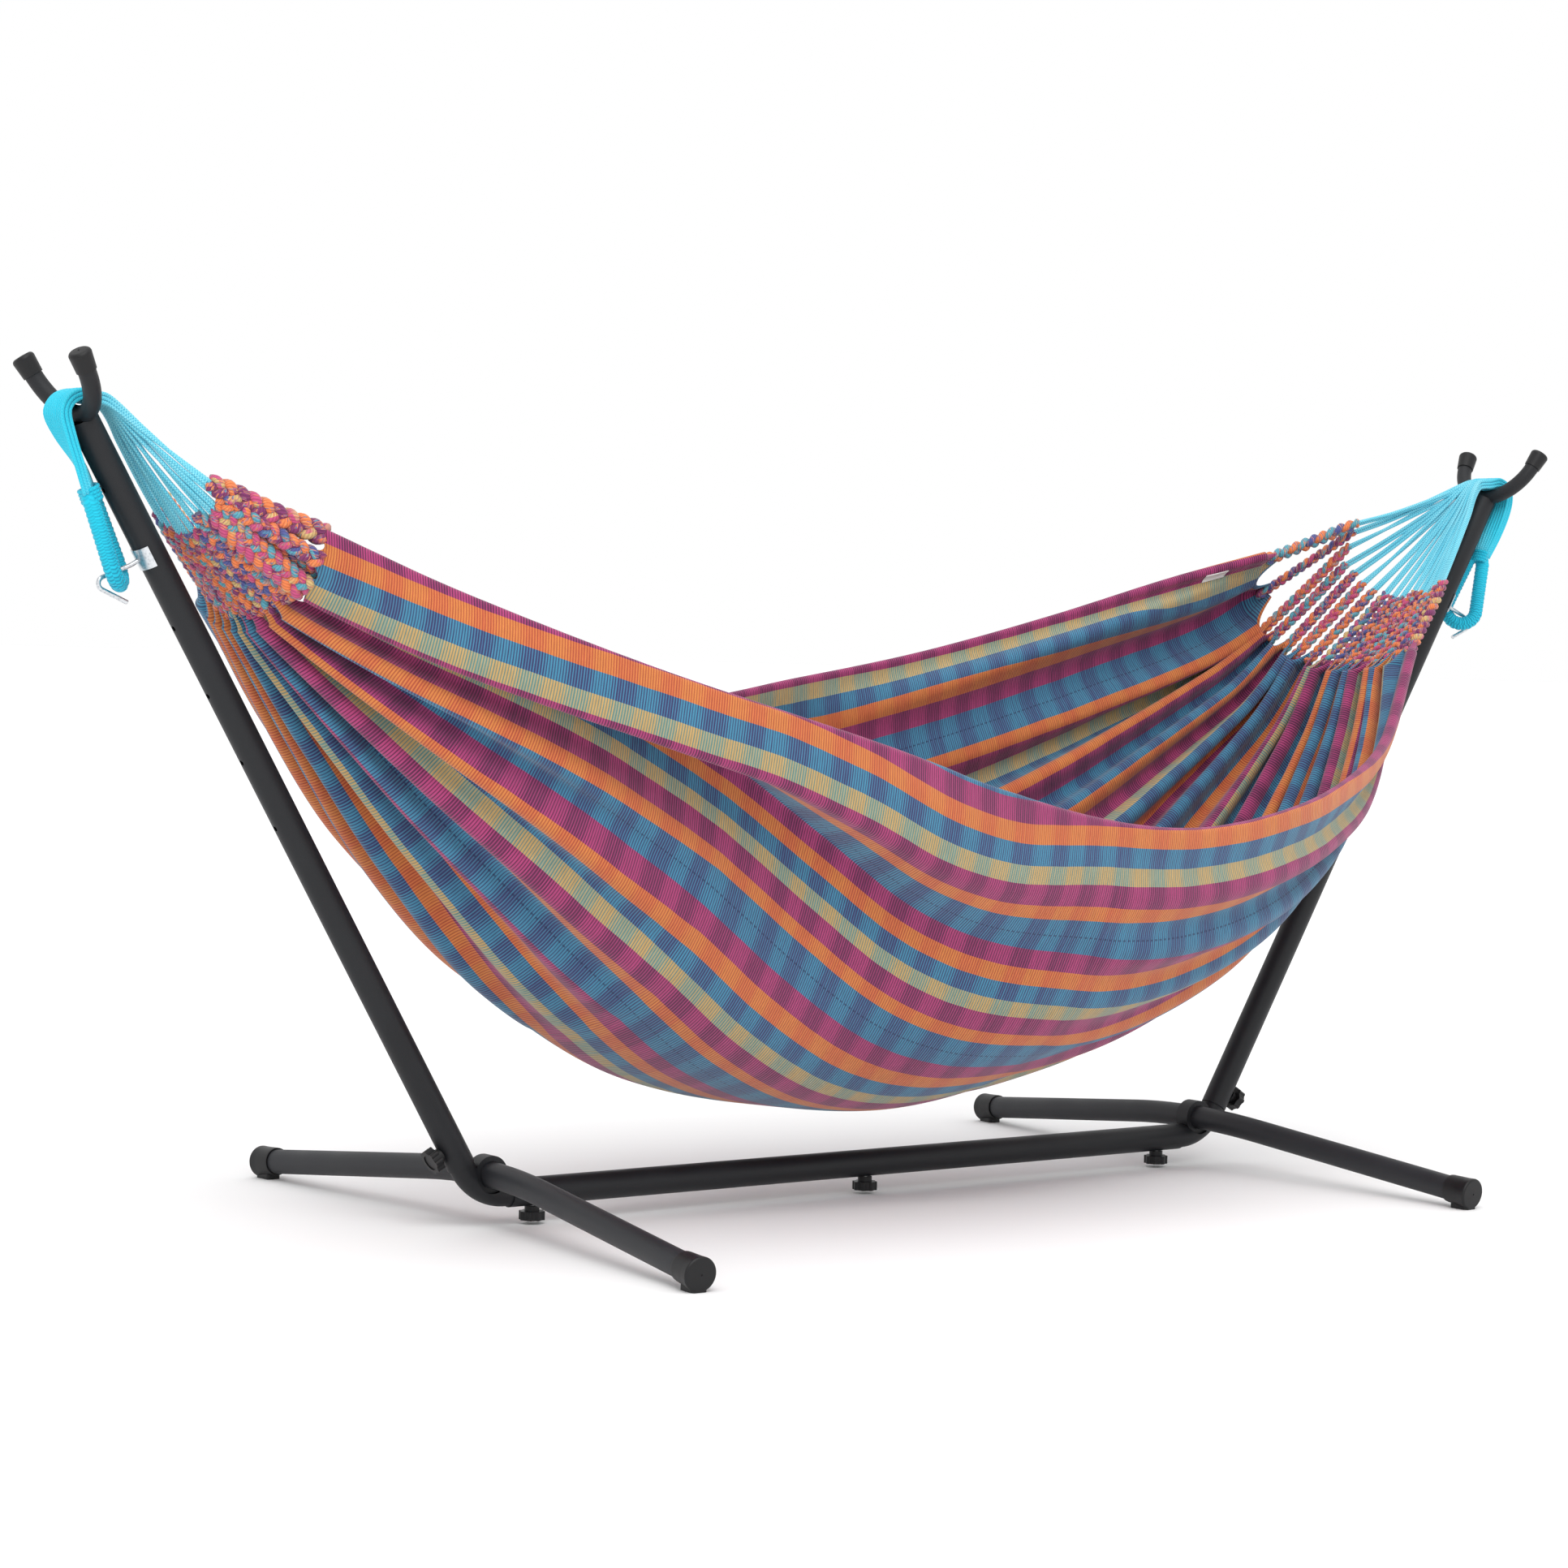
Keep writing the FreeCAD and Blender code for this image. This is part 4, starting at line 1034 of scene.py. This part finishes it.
def cord_material(name, pale, deep, flecks):
    """Knitted cord: rows of small stitches, with darker flecks."""
    g = Graph(name)
    around, along = g.split_uv("tube")
    columns = g.times(around, STITCH_COLUMNS)
    stagger = g.times(g.maths("FLOOR", columns), 0.5)
    stitch = g.maths("FRACT", g.maths("ADD", g.times(along, 1 / STITCH_PITCH), stagger))
    v_shape = g.maths("ABSOLUTE", g.maths("SUBTRACT", g.maths("FRACT", columns), 0.5))
    slope = g.maths("MULTIPLY_ADD", v_shape, 0.6, 0.3)
    dash = g.maths("ABSOLUTE", g.maths("SUBTRACT", stitch, slope))
    mark = g.ramp(dash, [(0.12, grey(1.0)), (0.26, grey(0.0))])
    colour = g.mix(g.streaks(around, along, 1.0, 14.0), pale, deep)
    colour = g.mix(g.times(mark, 0.75), colour, flecks)
    across = g.node("ShaderNodeSeparateXYZ", {0: g.object_place()}).outputs[0]
    deeper = g.remap(g.maths("ABSOLUTE", across), DEEPER_FROM, DEEPER_BY, 0.0, 0.85)
    colour = g.mix(deeper, colour, srgb(20, 196, 222))
    normal = g.bump(g.maths("SUBTRACT", 1.0, mark), 0.5, 0.0006)
    normal = g.bump(g.noise(g.object_place(), 1100.0), 0.2, 0.0005, normal)
    return g.wire(color=colour, rough=0.7, normal=normal, sheen=0.2, sheen_rough=0.4,
                  specular=0.3)


def powder_coat(name, low, high):
    """Satin powder coat: a fine orange-peel grain and faint handling marks."""
    g = Graph(name)
    at = g.object_place()
    grain = g.noise(at, 1500.0, 2.0, 0.6)
    peel = g.noise(at, 420.0, 2.0)
    cloudy = g.noise(at, 9.0, 3.0)
    colour = g.ramp(g.maths("MULTIPLY_ADD", grain, 0.5, g.times(cloudy, 0.5)),
                    [(0.35, low), (0.65, high)])
    rough = g.remap(cloudy, 0.3, 0.7, 0.42, 0.56)
    normal = g.bump(grain, 0.35, 0.0004)
    normal = g.bump(peel, 0.25, 0.0006, normal)
    return g.wire(color=colour, rough=rough, normal=normal, specular=0.3)


def moulded_plastic(name, low, high):
    """Moulded plastic with a fine texture and faint flow marks."""
    g = Graph(name)
    at = g.object_place()
    spark = g.noise(at, 1900.0, 2.0, 0.6)
    flow = g.noise(at, 30.0, 2.0)
    colour = g.ramp(flow, [(0.3, low), (0.7, high)])
    rough = g.remap(flow, 0.3, 0.7, 0.40, 0.52)
    return g.wire(color=colour, rough=rough, normal=g.bump(spark, 0.30, 0.0003), specular=0.35)


def metal(name, low, high, rough_low, rough_high, spangle):
    """Plated steel, with its crystal pattern and fine scratches."""
    g = Graph(name)
    at = g.object_place()
    cells = g.node("ShaderNodeTexVoronoi", {"Vector": at, "Scale": spangle}).outputs["Distance"]
    scratch = g.noise(g.node("ShaderNodeMapping", {0: at, 3: (900.0, 900.0, 60.0)}).outputs[0], 1.0)
    colour = g.ramp(cells, [(0.1, low), (0.6, high)])
    rough = g.remap(scratch, 0.3, 0.7, rough_low, rough_high)
    return g.wire(color=colour, rough=rough, metal=1.0, normal=g.bump(scratch, 0.12, 0.0003))


def label_material():
    g = Graph("label_cloth")
    at = g.object_place()
    weave = g.noise(at, 1500.0, 1.0)
    tone = g.noise(at, 60.0, 2.0)
    colour = g.ramp(tone, [(0.3, srgb(226, 226, 222)), (0.7, srgb(240, 240, 237))])
    return g.wire(color=colour, rough=0.8, normal=g.bump(weave, 0.3, 0.0003), sheen=0.1)


def floor_material():
    g = Graph("floor")
    at = g.object_place()
    tone = g.noise(at, 1.2, 2.0)
    colour = g.ramp(tone, [(0.3, grey(0.90)), (0.7, grey(0.92))])
    return g.wire(color=colour, rough=0.9, specular=0.1)


def make_materials():
    return {
        "charcoal_powder_coat": powder_coat("charcoal_powder_coat", srgb(24, 25, 28), srgb(34, 35, 38)),
        "grey_powder_coat": powder_coat("grey_powder_coat", srgb(34, 35, 38), srgb(44, 45, 49)),
        "black_plastic": moulded_plastic("black_plastic", srgb(14, 14, 16), srgb(20, 20, 22)),
        "screw_steel": metal("screw_steel", srgb(188, 188, 190), srgb(206, 206, 208), .26, .38, 900),
        "galvanised_steel": metal("galvanised_steel", srgb(178, 182, 186), srgb(212, 215, 218),
                                  .30, .42, 260),
        "striped_cotton": cloth_material(),
        "braided_cotton": braid_material(),
        "cyan_cord": cord_material("knitted_cord", srgb(158, 226, 236), srgb(84, 198, 220),
                                   srgb(16, 150, 188)),
        "lashing": cord_material("lashing_cord", srgb(30, 196, 220), srgb(16, 164, 196),
                                 srgb(8, 118, 150)),
        "label_cloth": label_material(),
        "floor": floor_material(),
    }


def dress_cad_nodes(made):
    """Gives each CAD piece the material of its slot."""
    slots = {s["node"]: s["material_slot"] for s in frame["record"]["subparts"]}
    for name, slot in slots.items():
        obj = frame["nodes"].get(name)
        if obj is None or slot not in made:
            continue
        for o in ([obj] if hasattr(obj, "material_slots") else obj):
            if not o.material_slots:
                o.data.materials.append(made[slot])
            for s in o.material_slots:
                s.material = made[slot]


# ======================== stage, lights and camera
def build_stage(material):
    bpy.ops.mesh.primitive_plane_add(size=400, location=(0, 0, 0))
    floor = bpy.context.object
    floor.name = "floor"
    floor.data.materials.append(material)


def area_light(name, place, target, size, power):
    data = bpy.data.lights.new(name, "AREA")
    data.shape = "SQUARE"
    data.size = size
    data.energy = power
    light = bpy.data.objects.new(name, data)
    light.location = place
    light.rotation_euler = (Vector(target) - Vector(place)).to_track_quat("-Z", "Y").to_euler()
    bpy.context.scene.collection.objects.link(light)


def build_lights():
    world = bpy.data.worlds.new("studio")
    world.use_nodes = True
    back = world.node_tree.nodes["Background"]
    back.inputs["Color"].default_value = (1.0, 1.0, 1.0, 1.0)
    back.inputs["Strength"].default_value = 1.0
    bpy.context.scene.world = world
    area_light("key", (-2.5, -4.0, 4.5), (0, 0, 0.6), 3.0, 90)
    sun = bpy.data.lights.new("soft_sun", "SUN")
    sun.energy = 0.9
    sun.angle = math.radians(60)
    lamp = bpy.data.objects.new("soft_sun", sun)
    lamp.rotation_euler = (math.radians(14), math.radians(-10), 0)
    bpy.context.scene.collection.objects.link(lamp)


def build_camera():
    yaw, pitch, roll = CAMERA_YAW, CAMERA_PITCH, CAMERA_ROLL
    forward = Vector((math.sin(yaw) * math.cos(pitch), math.cos(yaw) * math.cos(pitch),
                      math.sin(pitch)))
    right = Vector((math.cos(yaw), -math.sin(yaw), 0))
    up = right.cross(forward)
    right_rolled = right * math.cos(roll) + up * math.sin(roll)
    up_rolled = up * math.cos(roll) - right * math.sin(roll)
    data = bpy.data.cameras.new("camera")
    data.lens = CAMERA_LENS
    data.sensor_width = CAMERA_SENSOR
    data.clip_end = 100.0
    camera = bpy.data.objects.new("camera", data)
    turn = Matrix((right_rolled, up_rolled, -forward)).transposed()
    camera.matrix_world = Matrix.Translation(CAMERA_PLACE) @ turn.to_4x4()
    bpy.context.scene.collection.objects.link(camera)
    bpy.context.scene.camera = camera
    bpy.context.scene.view_settings.view_transform = "Standard"


# ======================== putting it together
def build_hammock(made):
    """The cloth bed with everything that hangs from it or holds it."""
    rows, along, kinds, w, roots, place, u = build_cloth()
    bed = link("striped_bed", grid_mesh("striped_bed", rows, along, kinds, w),
               made["striped_cotton"])
    thick = bed.modifiers.new("thickness", "SOLIDIFY")
    thick.thickness = CLOTH_THICK
    thick.offset = 0.0
    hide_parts("hammock_bed")
    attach(bed, "hammock")
    hung = []
    for side in SIDES:
        braids, tips = build_braids(side, roots[side], made["braided_cotton"])
        cords = build_cords(side, tips, made["cyan_cord"])
        build_loop(side, made["lashing"])
        hung += [braids, cords]
    hung.append(build_label(place, u, w, made["label_cloth"]))


made = make_materials()
dress_cad_nodes(made)
build_hammock(made)
build_stage(made["floor"])
build_lights()
build_camera()
